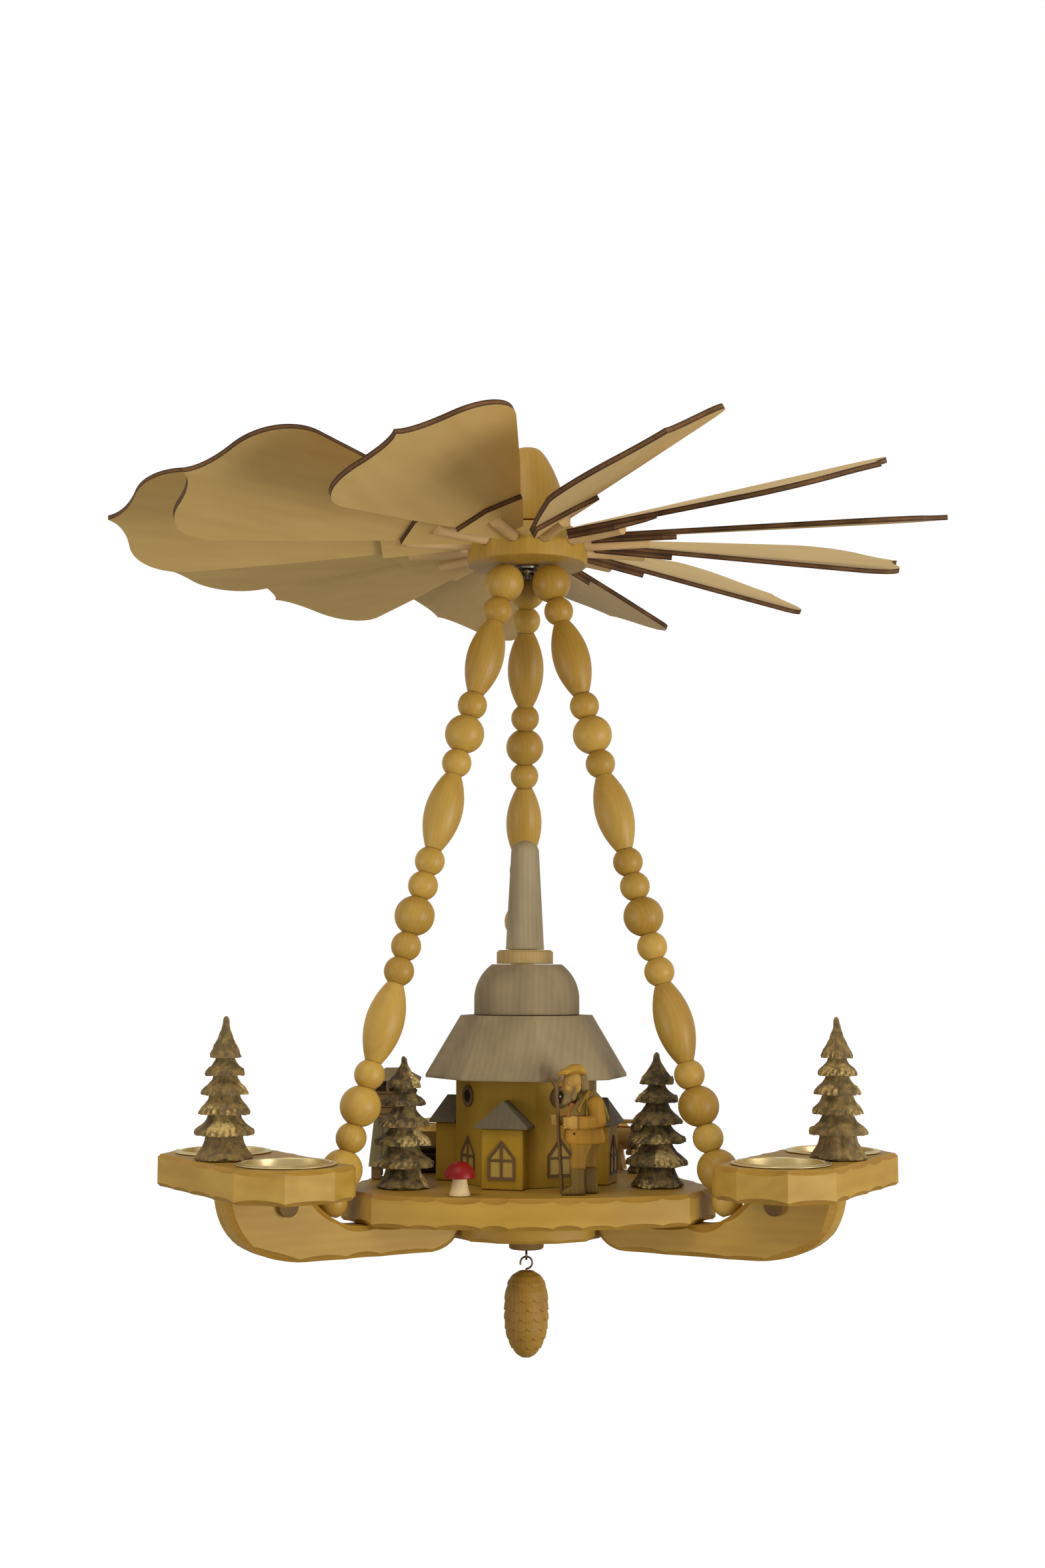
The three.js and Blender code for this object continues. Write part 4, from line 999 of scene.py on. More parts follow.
collar_low, collar_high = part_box("dome_collar")
collar_radius = (collar_high.x - collar_low.x) / 2
collar_bm = spun([(0, collar_low.z), (collar_radius, collar_low.z),
                  (collar_radius, collar_high.z - 1.1 * mm),
                  (collar_radius - 1.2 * mm, collar_high.z), (0, collar_high.z)], 96)
piece("collar_turned", move(collar_bm, Matrix.Translation((tower_x, 0, 0))), [collar_wood],
      ["dome_collar"])

spire_low, spire_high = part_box("spire")
spire_foot, spire_tip = 9.85 * mm, 7.2 * mm
spire_top = spire_high.z + 1.2 * mm
spire_outline = [(0, spire_low.z), (spire_foot, spire_low.z), (spire_tip, spire_top - 6.0 * mm)]
spire_outline += [(spire_tip * cos(radians(a)), spire_top - 6.0 * mm + 6.0 * mm * sin(radians(a)))
                  for a in range(9, 90, 9)]
spire_bm = spun([*spire_outline, (0, spire_top)], 96)
piece("spire_turned", move(spire_bm, Matrix.Translation((tower_x, 0, 0))), [spire_wood], ["spire"])


# Annexes. Three small boxes of yellow-stained wood stand against the church, each with a pointed window
# and a hipped roof of grey-stained wood whose ridge runs square to the wall.
def box_ring(x0, x1, y0, y1):
    """A rectangle's four corners."""
    return [(x0, y0), (x1, y0), (x1, y1), (x0, y1)]


for side, face_number in (("front", 1), ("left", 7), ("right", 3)):
    azimuth = corner_azimuth - 22.5 + 45 * (face_number - 1)
    holder = stood(0, 0, azimuth) @ Matrix.Translation((wall_out + 0.3, 0, 0))
    annex_bm = bmesh.new()
    slab(annex_bm, (0, -10.5, 0), (11.4, 10.5, 29), 0, 0.4)
    pointed_window(annex_bm, Matrix.Translation((11.4, 0, 4.6)))
    piece(f"annex_walls_{side}", move(annex_bm, holder), [yellow_wood, frame_wood, pane_wood],
          [f"annex_{side}"])
    hip_bm = prism(box_ring(0, 14.2, -13.7, 13.7), 0, 1)
    for ridge_x in (0, 8.6):
        hip_bm.verts.new((ridge_x, 0, 13.4))
    hull = bmesh.ops.convex_hull(hip_bm, input=hip_bm.verts[:], use_existing_faces=False)
    inner = [item for item in hull["geom_interior"] if isinstance(item, bmesh.types.BMVert)]
    bmesh.ops.delete(hip_bm, geom=inner, context="VERTS")
    bmesh.ops.dissolve_limit(hip_bm, angle_limit=radians(1), verts=hip_bm.verts, edges=hip_bm.edges)
    face_out(hip_bm)
    broken(hip_bm, hip_bm.edges[:], 0.2)
    # The hip roof is coloured darker than the church roof: painted shade.
    piece(f"annex_hip_{side}", move(hip_bm, holder @ Matrix.Translation((0, 0, 29.3))), [grey_roof_wood_with_painted_shade],
          [f"annex_roof_{side}"], crease=20)


# Trees. Each fir is carved from one piece: five skirts under a slim top, the skirts hollowed towards
# the stem and their rims cut into blocks. They are stained green-brown. Painted shade darkens the creases
# under each skirt and between the rim blocks, painted light brightens the rims, and pale flecks on the
# rims are bare knife cuts.
def stained_carving(name, dark, middle_tone, pale, spot_mm=1.6):
    """Carved and stained wood: painted shade in the grooves, painted light and pale bare cuts where the
    surface stands out.
    """
    material = cleared(bpy.data.materials.new(name))
    place = object_place(material)
    painted_light_and_cut_share = add_node(material, "ShaderNodeAttribute", attribute_name="wear_and_painted_shade").outputs["Fac"]
    patches = speckle(material, place, spot_mm * 2.5, 3.0)
    spots = speckle(material, place, spot_mm, 4.0, 0.7)
    # The lit share from the carving brightens the stain on the rims and darkens it in the grooves: painted
    # light and shade.
    base_share = weighted(material, (patches, 3.0), (spots, 1.6), (painted_light_and_cut_share, 0.5))
    base = blend(material, base_share, linear(dark), linear(middle_tone))
    # Pale flecks of bare cut wood show where the lit share and the speckle are both high.
    cut_share = add_node(material, "ShaderNodeMath", {0: painted_light_and_cut_share, 1: spots},
                         operation="MULTIPLY").outputs[0]
    bare = add_node(material, "ShaderNodeMapRange",
                    {"Value": cut_share, "From Min": 0.36, "From Max": 0.58}).outputs[0]
    colour = blend(material, bare, base, linear(pale))
    relief = add_node(material, "ShaderNodeBump",
                      {"Height": spots, "Strength": 0.35, "Distance": 0.4 * mm}).outputs[0]
    return finished(material, Base_Color=colour, Roughness=0.75, Normal=relief)


def carved_tree(height, base, tiers, seed):
    """A fir in millimetres; each tier is its rim's underside, its rim radius and its neck radius."""
    chance = Random(seed)
    tip_z = height * 0.975
    # The third value of each profile point is its lit share: 1 on the rims, down to 0 in the creases under
    # the next skirt, where it paints shade.
    profile = [(0, 0, 0), (base * 0.92, 0, 0.3), (base, 1.3, 1)]
    for k, (rim_z, rim, neck) in enumerate(tiers):
        start_z, start_r = profile[-1][1], profile[-1][0]
        for step in range(1, 8):
            t = step / 7
            profile.append((neck + (start_r - neck) * (1 - t) ** 2.1, start_z + (rim_z - start_z) * t,
                            0.75 * (1 - t)))
        for t, wear_and_painted_shade in ((0.35, 0), (0.7, 0), (1, 0.5)):
            profile.append((neck + (rim - neck) * t, rim_z - 0.4 * t, wear_and_painted_shade))
        profile.append((rim + 0.25, rim_z + 1.1, 1))
        profile.append((rim - 0.15, rim_z + 2.3, 1))
    start_r, start_z = profile[-1][:2]
    for step in range(1, 13):
        t = step / 12
        profile.append((1.35 + (start_r - 1.35) * (1 - t) ** 1.75, start_z + (tip_z - start_z) * t,
                        0.6 * (1 - t)))
    profile += [(0.8, height * 0.993, 0.5), (0, height, 0.5)]
    heights = [point[1] for point in profile]
    bm = spun([point[:2] for point in profile], 132)
    painted_shade_and_cut_layer = bm.verts.layers.float.new("wear_and_painted_shade")
    phases = [chance.uniform(0, 2 * pi) for _ in range(len(tiers) + 2)]
    for vertex in bm.verts:
        radius, z = hypot(vertex.co.x, vertex.co.y), vertex.co.z
        if radius < 0.4:
            vertex[painted_shade_and_cut_layer] = 0.4
            continue
        angle = atan2(vertex.co.y, vertex.co.x)
        row = min(range(len(profile)), key=lambda k: abs(heights[k] - z) + abs(profile[k][0] - radius))
        wear_and_painted_shade = profile[row][2]
        tier = sum(1 for rim_z, _, _ in tiers if z >= rim_z - 0.5)
        facets = (6, 5, 7)[tier % 3]
        turn = facets * angle / (2 * pi) + phases[tier]
        bow = abs(sin(pi * turn))
        flat = noise.noise(Vector(((turn // 1) % facets * 3.7, tier * 5.3, seed)))
        grooves = noise.noise(Vector((cos(angle) * radius, sin(angle) * radius, z * 0.5)) * 0.5)
        shift = radius * (0.13 * min(bow, 0.6) - 0.05) + 0.55 * grooves
        if wear_and_painted_shade >= 0.75:
            blocks = round(2 * pi * radius / 3.2)
            saw = abs((angle / (2 * pi) * blocks + phases[tier]) % 1 - 0.5) * 2
            shift -= (0.7 + 1.2 * flat) * max(0, saw - 0.6) / 0.4
            # The notches between the rim blocks keep a tenth of it: painted shade.
            wear_and_painted_shade *= 1 if saw < 0.6 else 0.1
            vertex.co.z -= 0.5 + 1.5 * flat + 1.1 * (bow - 0.6)
        vertex.co.x *= (radius + shift) / radius
        vertex.co.y *= (radius + shift) / radius
        vertex.co.z = max(0, vertex.co.z + 0.4 * noise.noise(vertex.co * 0.5))
        vertex[painted_shade_and_cut_layer] = min(1, max(0, wear_and_painted_shade * (0.55 + 1.2 * flat) + 0.3 * bow + 0.9 * flat - 0.1))
    return bm


plate_tiers = [(0.165, 1.0, 0.56), (0.333, 0.93, 0.5), (0.473, 0.83, 0.45), (0.633, 0.71, 0.37),
               (0.766, 0.56, 0.29)]
tray_tiers = [(11.9, 13.3, 8.3), (21.3, 11.5, 7.2), (30.4, 10.6, 6.9), (39.2, 8.9, 5.3),
              (47.4, 7.05, 4.3)]
dark_carving = stained_carving("stained_fir_dark", "#42331a", "#8a733c", "#cdb06f")
olive_carving = stained_carving("stained_fir_olive", "#5a4720", "#8b7037", "#c0a05c")
for name, x, y, height, radius, seed in (("left", -61.8, -31.5, 64, 14.6, 3),
                                         ("right", 64, -28, 66, 14.6, 11),
                                         ("small", 60.5, 40, 29, 6.4, 21)):
    tiers = [(share * height, rim * radius, neck * radius) for share, rim, neck in plate_tiers]
    tree_bm = carved_tree(height, 0.88 * radius, tiers, seed)
    piece(f"fir_plate_{name}", move(tree_bm, stood(x, y, 40 * seed)), [dark_carving],
          [f"plate_tree_{name}"], crease=38)
for seed, (side, azimuth) in enumerate(side_azimuths.items()):
    tree_bm = carved_tree(66.3, 13.4, tray_tiers, seed + 30)
    ground = about(azimuth, 166 * mm, 0, tray_top + gap)
    turned = ground @ Matrix.Rotation(seed * 1.3, 4, "Z") @ Matrix.Scale(mm, 4)
    piece(f"fir_tray_{side}", move(tree_bm, turned), [olive_carving], [f"tray_tree_{side}"],
          crease=38)


# Walker. An old man on his way home, carved from one block with a knife and stained thinly: golden coat
# and cap, grey-brown hair, waistcoat and boots. He leans on a forked stick.
def lump(bm, centre, size, turn=(0, 0, 0)):
    """Adds an egg-shaped form; all figures are made in millimetres."""
    made = bmesh.new()
    bmesh.ops.create_uvsphere(made, u_segments=20, v_segments=14, radius=1)
    bmesh.ops.scale(made, verts=made.verts, vec=size)
    about_x, about_y, about_z = (Matrix.Rotation(radians(angle), 4, axis)
                                 for angle, axis in zip(turn, "XYZ"))
    merge(bm, made, Matrix.Translation(centre) @ about_z @ about_y @ about_x)


def limb(bm, start, end, size, end_size, flat=1):
    """Adds a tapered round form between two points, rounded at both ends."""
    start, end = Vector(start), Vector(end)
    made = bmesh.new()
    bmesh.ops.create_cone(made, cap_ends=True, segments=20, radius1=size, radius2=end_size,
                          depth=(end - start).length)
    aim = Vector((0, 0, 1)).rotation_difference(end - start).to_matrix().to_4x4()
    merge(bm, made, Matrix.Translation((start + end) / 2) @ aim @ Matrix.Diagonal((1, flat, 1, 1)))
    lump(bm, start, (size, size * flat, size))
    lump(bm, end, (end_size, end_size * flat, end_size))


def carve(bm, voxel=0.34, share=0.16):
    """One solid from overlapping forms, its surface left in the small flat facets of a knife."""
    rough = bpy.data.meshes.new("rough")
    bm.to_mesh(rough)
    bm.free()
    block = put("rough", rough)
    fused = block.modifiers.new("fused", "REMESH")
    fused.mode = "VOXEL"
    fused.voxel_size = voxel
    block.modifiers.new("soft", "SMOOTH").iterations = 2
    facets = block.modifiers.new("facets", "DECIMATE")
    facets.ratio = share
    graph = bpy.context.evaluated_depsgraph_get()
    result = bpy.data.meshes.new_from_object(block.evaluated_get(graph))
    bpy.data.objects.remove(block)
    carved = bmesh.new()
    carved.from_mesh(result)
    bpy.data.meshes.remove(result)
    return carved


def side_cut(bm, outline, near, far, edge=1.0):
    """Adds a form sawn to a side outline between two faces, whose edges are rounded."""
    made = bmesh.new()
    face = made.faces.new([made.verts.new((x, near, z)) for x, z in outline])
    raised(made, [face], (0, far - near, 0))
    face_out(made)
    rims = [e for e in made.edges if abs(e.verts[0].co.y - e.verts[1].co.y) < 0.01]
    broken(made, rims, edge, 3)
    merge(bm, made)


walker_bm = bmesh.new()
boots = bmesh.new()
side_cut(boots, [(-10.6, 0), (-10.2, 1.6), (-8.2, 3.2), (-5.9, 4.4), (-6.5, 12.6), (0.6, 12.6), (0.5, 4),
                 (1.0, 0)], -6.4, -0.6)
side_cut(boots, [(-3.4, 0.2), (-2.8, 1.8), (0.6, 4.2), (0.2, 13), (6.6, 13), (7.4, 0.2)], 0.6, 6.2)
merge(walker_bm, carve(boots), index=2)
trousers = bmesh.new()
side_cut(trousers, [(-7.2, 26), (-6.9, 23.2), (-5.7, 19.2), (-6.9, 15.2), (-6.2, 12.0), (0.8, 12.0),
                    (1.6, 17.5), (5.4, 26)], -6.8, -0.3, 1.2)
side_cut(trousers, [(-2.4, 26), (-1.0, 18), (-0.4, 12.4), (6.7, 12.4), (6.4, 16.4), (9.4, 23.2),
                    (9.2, 26)], -1.6, 6.6, 1.2)
merge(walker_bm, carve(trousers), index=1)
coat = bmesh.new()
side_cut(coat, [(-8.5, 31), (-8.7, 25.8), (-7.5, 23.8), (0, 23.2), (9.4, 23.9), (10.3, 26.2), (9.9, 29.0),
                (8.8, 31.8), (-2, 32)], -7.2, 7.2, 1.3)
side_cut(coat, [(-7.0, 31.4), (-5.2, 36), (-3.4, 43), (2.0, 48.2), (6.4, 46.6), (9.2, 42.4), (9.8, 36),
                (8.9, 31.4)], -6.4, 6.4, 2.2)
merge(walker_bm, carve(coat), index=0)
sleeves = bmesh.new()
for side_y in (-1, 1):
    limb(sleeves, (5.6, side_y * 6.6, 42.6), (7.4, side_y * 7.4, 35.2), 3.9, 3.4)
    side_cut(sleeves, [(-2.6, 30.8), (-3.0, 34), (-2.5, 37.2), (5.0, 37.2), (10.2, 38), (10.4, 34.2),
                       (9.0, 32.2), (4, 31.2)], side_y * 7.2 - 2.9, side_y * 7.2 + 2.9, 1.5)
merge(walker_bm, carve(sleeves), index=0)
hands = bmesh.new()
side_cut(hands, [(-8.9, 31.4), (-9.3, 34), (-9.0, 36.6), (-5, 37.4), (-2.2, 36.9), (-2.2, 30.9),
                 (-5.5, 30.6)], -9.0, -4.2, 1.6)
side_cut(hands, [(-15.0, 32.4), (-15.4, 37.4), (-12.6, 37.8), (-11.6, 36), (-12.0, 31.8)], -2.0, 3.4)
limb(hands, (-12.4, 1.5, 34.4), (-4.0, 6.2, 34.2), 2.3, 2.6)
for finger in range(4):
    limb(hands, (-9.2, -7.9, 36.0 - finger * 1.4), (-9.4, -4.6, 35.8 - finger * 1.35), 0.75, 0.7)
merge(walker_bm, carve(hands, 0.28, 0.2), index=3)
waistcoat = bmesh.new()
side_cut(waistcoat, [(-7.4, 36.8), (-4.6, 42.5), (1.2, 48.4), (4.0, 48.8), (4.4, 45.2), (1.6, 42.6),
                     (1.2, 36.8)], -6.7, 6.7)
side_cut(waistcoat, [(4.0, 49.6), (6.8, 48.0), (9.4, 45.0), (11.4, 40.2), (12.6, 35.8), (11.6, 34.2),
                     (9.4, 38.6), (7.0, 44.0), (3.0, 47.4)], -5.8, 5.8)
merge(walker_bm, carve(waistcoat), index=2)
collar_fold = bmesh.new()
for side_y in (-1, 1):
    side_cut(collar_fold, [(-3.4, 40.4), (-2.2, 42.2), (1.6, 48.6), (3.6, 49.8), (3.2, 48.4),
                           (-0.6, 42.8), (-1.6, 38.8), (-2.6, 38.6)], side_y * 6.4 - 0.9,
                           side_y * 6.4 + 0.9, 0.4)
    limb(collar_fold, (1.9, side_y * 7.0, 46.6), (1.4, side_y * 7.3, 37.6), 0.5, 0.45)
merge(walker_bm, carve(collar_fold, 0.26, 0.2), index=1)
scarf = bmesh.new()
lump(scarf, (-5.4, 0, 42.4), (2.2, 4.0, 1.6), (0, 25, 0))
lump(scarf, (-5.0, -3.9, 41.6), (1.9, 1.2, 1.6), (0, 30, 0))
lump(scarf, (-5.0, 3.9, 41.6), (1.9, 1.2, 1.6), (0, 30, 0))
limb(scarf, (-5.4, -3.6, 41.0), (-7.0, -4.8, 37.4), 1.2, 1.5)
limb(scarf, (-4.6, -4.0, 40.8), (-3.6, -5.6, 38.0), 1.0, 1.2)
merge(walker_bm, carve(scarf, 0.26, 0.2), index=4)

head_height = 15.6
chin_z = 44.0
crown_z = chin_z + head_height
eye_z, nose_z, mouth_z, brow_z = (chin_z + share * head_height for share in (0.5, 0.31, 0.2, 0.58))
face_x = -9.4
head = bmesh.new()
lump(head, (-3.4, 0, chin_z + 0.6 * head_height), (6.2, 5.4, 6.0))
lump(head, (-5.2, 0, chin_z + 0.38 * head_height), (4.4, 4.4, 5.4))
limb(head, (-1.4, 0, chin_z + 3), (0.8, 0, chin_z - 1.5), 3.4, 3.8)
side_cut(head, [(face_x + 1.6, brow_z - 0.6), (face_x - 1.3, nose_z + 0.9), (face_x - 1.1, nose_z - 0.1),
                (face_x + 1.8, nose_z - 0.2)], -1.05, 1.05, 0.35)
for side_y in (-1, 1):
    lump(head, (face_x - 0.1, side_y * 0.95, nose_z + 0.45), (0.8, 0.6, 0.6))
    limb(head, (face_x + 0.5, side_y * 0.9, brow_z), (face_x + 2.0, side_y * 3.9, brow_z - 0.2), 0.7, 0.5)
    lump(head, (face_x + 1.2, side_y * 2.1, eye_z - 0.1), (0.7, 1.0, 0.55))
    limb(head, (face_x + 0.9, side_y * 1.1, eye_z - 0.75), (face_x + 1.9, side_y * 3.3, eye_z - 0.85),
         0.28, 0.22)
    lump(head, (face_x + 2.1, side_y * 3.0, nose_z + 1.2), (1.7, 1.5, 1.5))
    lump(head, (-2.6, side_y * 5.3, eye_z - 1.4), (1.4, 0.8, 2.3), (0, 12, 0))
    lump(head, (-2.5, side_y * 5.9, eye_z - 1.2), (0.7, 0.4, 1.3), (0, 12, 0))
limb(head, (face_x + 0.2, -1.6, mouth_z + 0.1), (face_x + 0.2, 1.6, mouth_z + 0.1), 0.45, 0.45)
merge(walker_bm, carve(head, 0.24, 0.3), index=3)
hair = bmesh.new()
side_cut(hair, [(-1.8, crown_z - 2.6), (1.6, crown_z - 2.8), (2.6, chin_z + 9), (2.9, chin_z + 4.6),
                (0.6, chin_z + 3.4), (-1.9, chin_z + 5.4)], -5.6, 5.6, 2.2)
side_cut(hair, [(-2.8, chin_z + 5.6), (-5.6, chin_z + 5.8), (-7.4, chin_z + 4.6), (-9.6, chin_z + 2.2),
                (-10.6, chin_z - 1.9), (-8.4, chin_z - 2.2), (-5.4, chin_z - 0.6), (-2.4, chin_z + 0.8)],
                -4.3, 4.3, 1.8)
for side_y in (-1, 1):
    limb(hair, (-3.4, side_y * 4.9, chin_z + 6.0), (-4.8, side_y * 4.4, chin_z + 1.6), 1.1, 1.4)
    limb(hair, (face_x + 0.1, side_y * 0.7, nose_z - 0.7), (face_x + 1.3, side_y * 3.0, mouth_z - 0.6),
         0.75, 0.6)
merge(walker_bm, carve(hair, 0.26, 0.2), index=8)
cap = bmesh.new()
side_cut(cap, [(-12.6, crown_z - 2.9), (-11.6, crown_z - 2.0), (-8.6, crown_z - 0.2),
               (-5.6, crown_z + 1.5), (-2.0, crown_z + 1.9), (0.8, crown_z + 0.6), (1.4, crown_z - 1.6),
               (0.8, crown_z - 3.2), (-4, crown_z - 2.6), (-11.6, crown_z - 3.6)], -6.0, 6.0, 2.6)
merge(walker_bm, carve(cap, 0.3, 0.14), index=5)
button = spun([(0, -0.2), (0.55, -0.2), (0.55, 0.1), (0.3, 0.25), (0, 0.25)], 16)
merge(walker_bm, button, Matrix.Translation((-4.6, -7.3, 28.9)) @ onto_y, 6)
pipe_bowl = spun([(0, -1.2), (1.0, -1.2), (1.35, -0.4), (1.35, 0.5), (0.95, 0.6), (0.9, 0.2), (0, 0.2)],
                 28)
merge(walker_bm, pipe_bowl, Matrix.Translation((-11.0, -2.6, mouth_z - 1.0)) @ onto_y, 6)
pipe_bead = spun([(0, -0.7), (0.45, -0.5), (0.65, 0), (0.45, 0.5), (0, 0.7)], 20)
merge(walker_bm, pipe_bead, Matrix.Translation((-11.0, -3.3, mouth_z - 1.0)), 7)
pipe_stem = bmesh.new()
limb(pipe_stem, (face_x - 0.2, 0, mouth_z + 0.1), (-10.9, -1.8, mouth_z - 1.0), 0.35, 0.4)
merge(walker_bm, pipe_stem, index=6)
move(walker_bm, stood(25, -60))
coat_wood = wood("stained_coat", "#a77921", "#815810", ring_mm=3, figure=0.7, roughness=0.65)
trouser_wood = wood("stained_trousers", "#966f1e", "#725213", ring_mm=3, figure=0.7, roughness=0.65)
grey_brown_wood = wood("stained_grey_brown", "#7a6229", "#543f16", ring_mm=2, figure=0.9, roughness=0.7)
skin_wood = wood("bare_face_and_hands", "#b78d42", "#946d2c", ring_mm=3, roughness=0.6)
hair_wood = wood("stained_hair_and_beard", "#8d7545", "#675029", ring_mm=2, figure=0.9, roughness=0.7)
scarf_wood = wood("stained_scarf", "#a4682a", "#7c4a1a", ring_mm=2, figure=0.6, roughness=0.65)
cap_yellow = wood("stained_cap_yellow", "#b68b30", "#946d21", ring_mm=3, figure=0.6, roughness=0.6)
piece("walker_figure", walker_bm, [coat_wood, trouser_wood, grey_brown_wood, skin_wood, scarf_wood,
                                   cap_yellow, dark_stain_and_painted_hole_shade, bright_steel, hair_wood],
      ["walker"], crease=14)


# Walking stick. A whittled branch with a fork at its top, stained dark brown. It stands in front of the
# walker, in reach of both hands.
stick_bm = bmesh.new()
stick_path = [(0, 0, 0), (-0.6, -1.2, 12), (-1.6, -2.6, 26), (-2.2, -3.9, 38), (-3.0, -5.0, 51)]
for start, end in zip(stick_path, stick_path[1:]):
    limb(stick_bm, start, end, 0.95, 0.95)
limb(stick_bm, (-3.0, -5.0, 50.5), (-5.0, -5.4, 54.0), 0.95, 0.8)
limb(stick_bm, (-5.0, -5.4, 54.0), (-7.0, -5.6, 55.2), 0.8, 0.55)
limb(stick_bm, (-3.0, -5.0, 50.5), (-1.0, -4.8, 55.2), 1.0, 0.6)
stick_bm = carve(stick_bm, 0.26, 0.2)
move(stick_bm, stood(15, -58))
stick_wood = wood("stained_stick", "#80602f", "#50391b", ring_mm=2, figure=0.9, roughness=0.7)
piece("forked_stick", stick_bm, [stick_wood], ["walking_stick"], crease=14)


# Toadstool. A turned stem of bare limewood that flares to its foot, under a turned half-round cap painted
# glossy red.
gloss_red = cleared(bpy.data.materials.new("gloss_red_paint"))
red_coat = speckle(gloss_red, object_place(gloss_red), 3, 2.0)
red_colour = blend(gloss_red, red_coat, linear("#8c0d06"), linear("#6f0904"))
finished(gloss_red, Base_Color=red_colour, Roughness=0.42, Specular_IOR_Level=0.25)
stem_wood = wood("bare_stem", "#d8bf90", "#b99a66", ring_mm=1.5, roughness=0.6)
toadstool_bm = spun([(0, 0), (5.1, 0), (5.0, 0.5), (4.2, 3), (3.6, 6), (3.3, 9), (0, 9)], 64)
red_cap = [(0, 8.4), (6.8, 8.4), (7.35, 8.55), (7.45, 8.9)]
red_cap += [(7.45 * cos(radians(a)), 8.9 + 7.6 * sin(radians(a))) for a in range(8, 90, 8)]
merge(toadstool_bm, spun([*red_cap, (0, 16.5)], 72), index=1)
piece("toadstool_turned", move(toadstool_bm, stood(-34, -66) @ Matrix.Diagonal((1, 1, 0.97, 1))),
      [stem_wood, gloss_red], ["toadstool"])


# Deer. Carved from pale limewood behind the right-hand tree, with a reddish neck and thin whittled
# antlers. A rack of pale planks on slanting legs stands beside it.
deer_bm = bmesh.new()
deer_body = bmesh.new()
limb(deer_body, (-8.5, 0, 19.0), (7.5, 0, 19.6), 5.0, 5.2, 0.85)
lump(deer_body, (-9.6, 0, 19.6), (4.4, 4.3, 4.7))
lump(deer_body, (-13.4, 0, 21.4), (1.9, 1.0, 1.3), (0, -40, 0))
for x, side_y in ((-9.5, -1), (-10.6, 1), (8.0, -1), (6.4, 1)):
    limb(deer_body, (x, side_y * 2.6, 16.5), (x - 0.8, side_y * 2.7, 8.6), 2.1, 1.1)
    limb(deer_body, (x - 0.8, side_y * 2.7, 8.6), (x, side_y * 2.7, 0.9), 1.0, 0.95)
merge(deer_bm, carve(deer_body, 0.34, 0.14))
deer_neck = bmesh.new()
limb(deer_neck, (8.2, 0, 20.5), (12.6, 0, 31.6), 4.0, 2.4, 0.8)
limb(deer_neck, (12.2, 0, 32.8), (17.4, 0, 30.6), 2.6, 1.5, 0.85)
for side_y in (-1, 1):
    lump(deer_neck, (10.9, side_y * 2.7, 34.2), (0.7, 1.5, 1.9), (side_y * -35, 0, 0))
merge(deer_bm, carve(deer_neck, 0.3, 0.16), index=1)
antlers = bmesh.new()
for side_y in (-1, 1):
    limb(antlers, (12.4, side_y * 1.4, 34.4), (10.6, side_y * 4.4, 40.0), 0.8, 0.65)
    limb(antlers, (10.6, side_y * 4.4, 40.0), (13.2, side_y * 5.6, 46.4), 0.65, 0.45)
    limb(antlers, (11.4, side_y * 3.2, 37.6), (15.6, side_y * 4.4, 40.6), 0.55, 0.4)
    limb(antlers, (11.8, side_y * 5.0, 43.0), (9.4, side_y * 5.8, 46.0), 0.5, 0.35)
merge(deer_bm, carve(antlers, 0.26, 0.3), index=2)
move(deer_bm, stood(60, 48, -38) @ Matrix.Scale(0.93, 4))
rack_bm = bmesh.new()
slab(rack_bm, (-9, -3.4, 24.6), (8, 3.4, 26.4), 0, 0.2)
slab(rack_bm, (-9.4, -3.9, 21.4), (8.4, -2.9, 23.2), 1, 0.2)
slab(rack_bm, (-8.6, -3.3, 11.0), (8, -2.1, 20.6), 0, 0.2)
for x, lean in ((-8.6, 5), (7.4, -5)):
    for side_y in (-2.6, 2.6):
        leg = tapered(box_ring(x + lean - 1.2, x + lean + 1.2, side_y - 0.7, side_y + 0.7),
                      box_ring(x - 1.3, x + 1.3, side_y - 0.7, side_y + 0.7), 0, 24.6, 0.01, 0.15)
        merge(rack_bm, leg, index=0)
merge(deer_bm, rack_bm, stood(57.5, 55.5, -24))
pale_carving = wood("pale_carved_deer", "#cfae6f", "#ab854a", ring_mm=2, figure=0.6, roughness=0.65,
                    along=(1, 0, 0))
neck_carving = wood("reddish_deer_neck", "#b07a44", "#86532c", ring_mm=2, figure=0.6, roughness=0.65)
piece("deer_figure", deer_bm, [pale_carving, neck_carving, stick_wood], ["deer"],
      crease=14)


# Raised hide and wood stack. The hide stands behind the left-hand tree: block feet, slanting grey-green
# boards, a railed cabin of brown boards and a grey hipped roof. A stack of dark billets with a pale plank
# lies beside it.
hide_bm = bmesh.new()
for x in (-8.6, 8.6):
    for y in (-8.6, 8.6):
        slab(hide_bm, (x - 2.6, y - 2.6, 0), (x + 2.6, y + 2.6, 7.4), 1, 0.4)
skirt_low, skirt_high, plank = 12.6, 10.0, 1.2
for turn in range(4):
    for board in range(4):
        foot_y = -skirt_low + board * skirt_low / 2
        head_y = -skirt_high + board * skirt_high / 2
        foot = box_ring(skirt_low - plank, skirt_low, foot_y + 0.15, foot_y + skirt_low / 2 - 0.15)
        head = box_ring(skirt_high - plank, skirt_high, head_y + 0.12, head_y + skirt_high / 2 - 0.12)
        board_bm = tapered(foot, head, 6.6, 31.4, 0.01, 0.12)
        merge(hide_bm, board_bm, Matrix.Rotation(pi / 2 * turn, 4, "Z"), 0)
slab(hide_bm, (-11.6, -11.6, 31), (11.6, 11.6, 32.6), 1, 0.3)
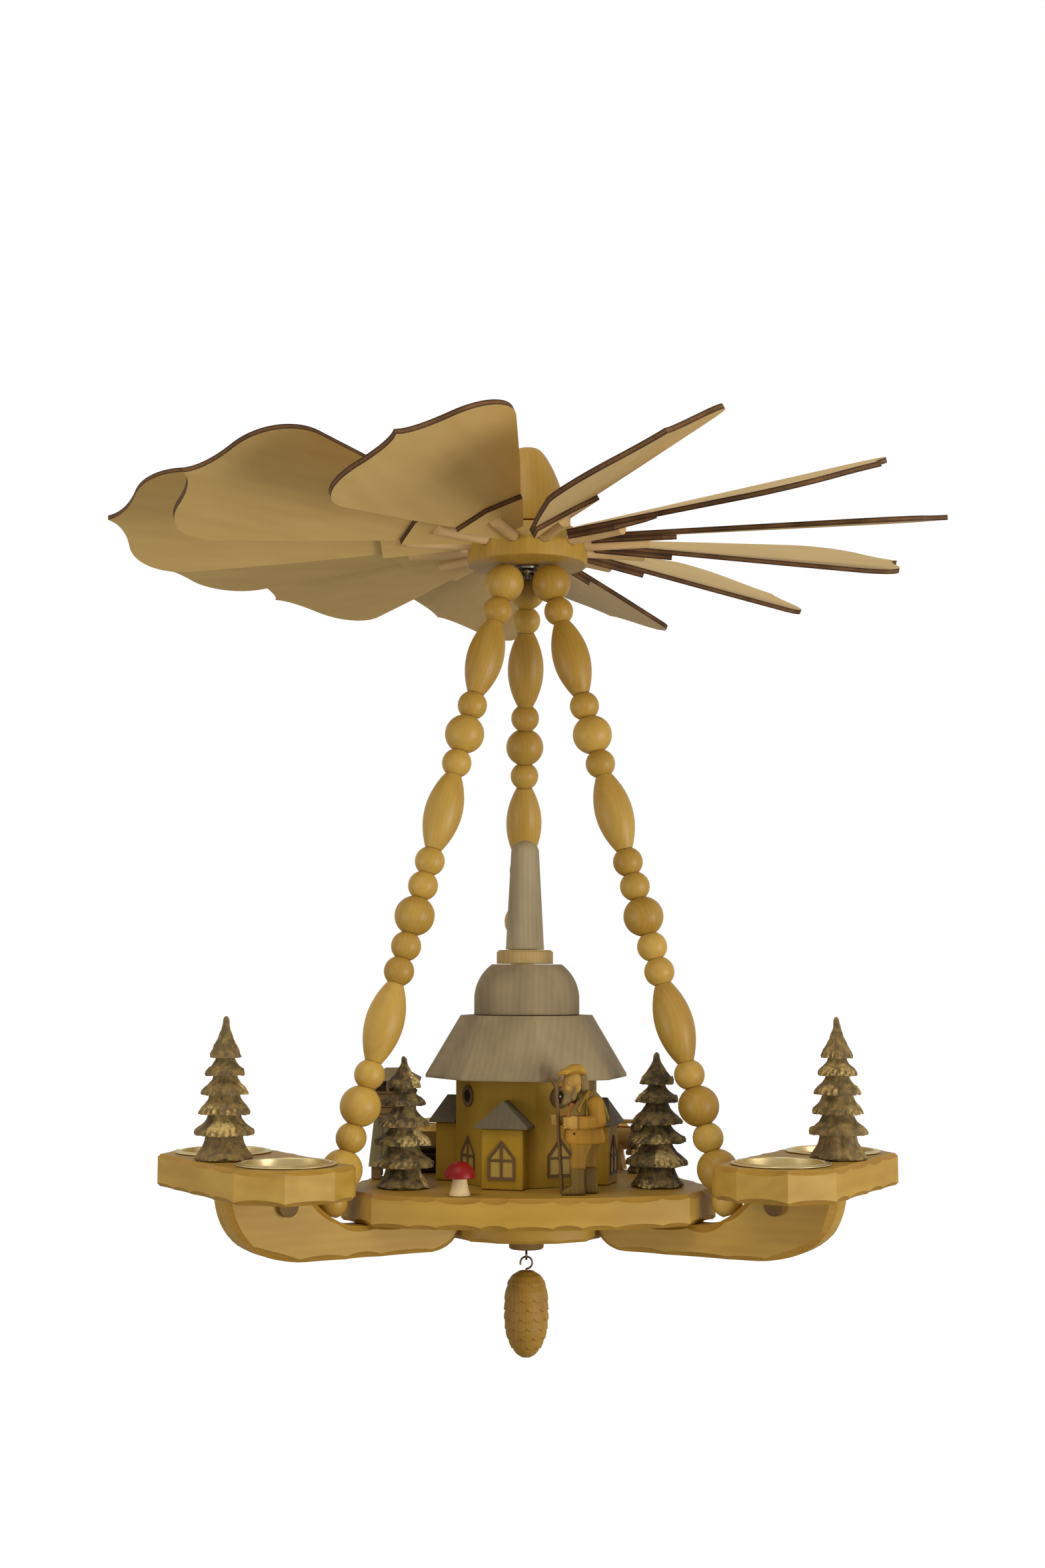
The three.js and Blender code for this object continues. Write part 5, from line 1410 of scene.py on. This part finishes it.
for turn in range(4):
    side_turn = Matrix.Rotation(pi / 2 * turn, 4, "Z")
    for level in range(3):
        slab(hide_bm, (9.6, -11.0, 32.8 + level * 3.5), (11.0, 11.0, 36.0 + level * 3.5), 1, 0.3,
             side_turn)
    slab(hide_bm, (9.2, -11.4, 43.2), (11.6, 11.4, 44.4), 1, 0.3, side_turn)
    for y in (-9.8, -3.2, 3.2, 9.8):
        slab(hide_bm, (9.2, y - 0.9, 44.2), (10.9, y + 0.9, 50.2), 1, 0.25, side_turn)
# A dark block fills the cabin behind its rails and posts: painted shade of the cabin's inside.
slab(hide_bm, (-8.8, -8.8, 32.4), (8.8, 8.8, 49.6), 3, 0.1)
merge(hide_bm, tapered(box_ring(-13.6, 13.6, -13.6, 13.6), box_ring(-4.6, 4.6, -4.6, 4.6), 49.8, 55.9,
                       0.8, 0.2), index=2)
move(hide_bm, stood(-68, 18))
stack_bm = bmesh.new()
for row in range(4):
    for column in range(3):
        billet = spun([(0, -13), (1.75, -13), (1.85, -12.6), (1.85, 12.6), (1.75, 13), (0, 13)], 14)
        merge(stack_bm, billet, Matrix.Translation((0, column * 3.7 - 3.7 + 1.85 * (row % 2),
                1.9 + row * 3.2)) @ onto_x, 3)
slab(stack_bm, (-9, -1.4, 0), (13, 0.2, 7.6), 4, 0.2,
     Matrix.Translation((1, -5.2, 14)) @ Matrix.Rotation(radians(-8), 4, "X"))
merge(stack_bm, wire([(14.5 - 4.2 * sin(t * pi / 2), -6.4, 24 - 14 * t)
                      for t in (k / 12 for k in range(13))], 0.8), index=3)
move(stack_bm, stood(-47, 44))
merge(hide_bm, stack_bm)
grey_green_wood = wood("grey_green_boards", "#8f8458", "#6a6040", ring_mm=3, figure=0.8, roughness=0.75)
brown_boards = wood("brown_boards", "#8b6a40", "#5f4526", ring_mm=3, figure=0.8, roughness=0.75,
                    along=(0, 1, 0))
# Dark wood: the stained billets of the stack, and painted shade inside the hide's cabin.
dark_billet_wood_and_painted_cabin_shade = wood("dark_stained_billets_and_painted_cabin_shade", "#4a3722", "#2c2013", ring_mm=2, figure=0.8, roughness=0.8,
                 along=(1, 0, 0))
piece("hide_and_stack", hide_bm, [grey_green_wood, brown_boards, grey_wood, dark_billet_wood_and_painted_cabin_shade, pale_carving],
      ["raised_hide"], crease=25)

size = {"cad": [list(corner) for corner in cad_box], "visual": [list(corner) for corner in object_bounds()]}
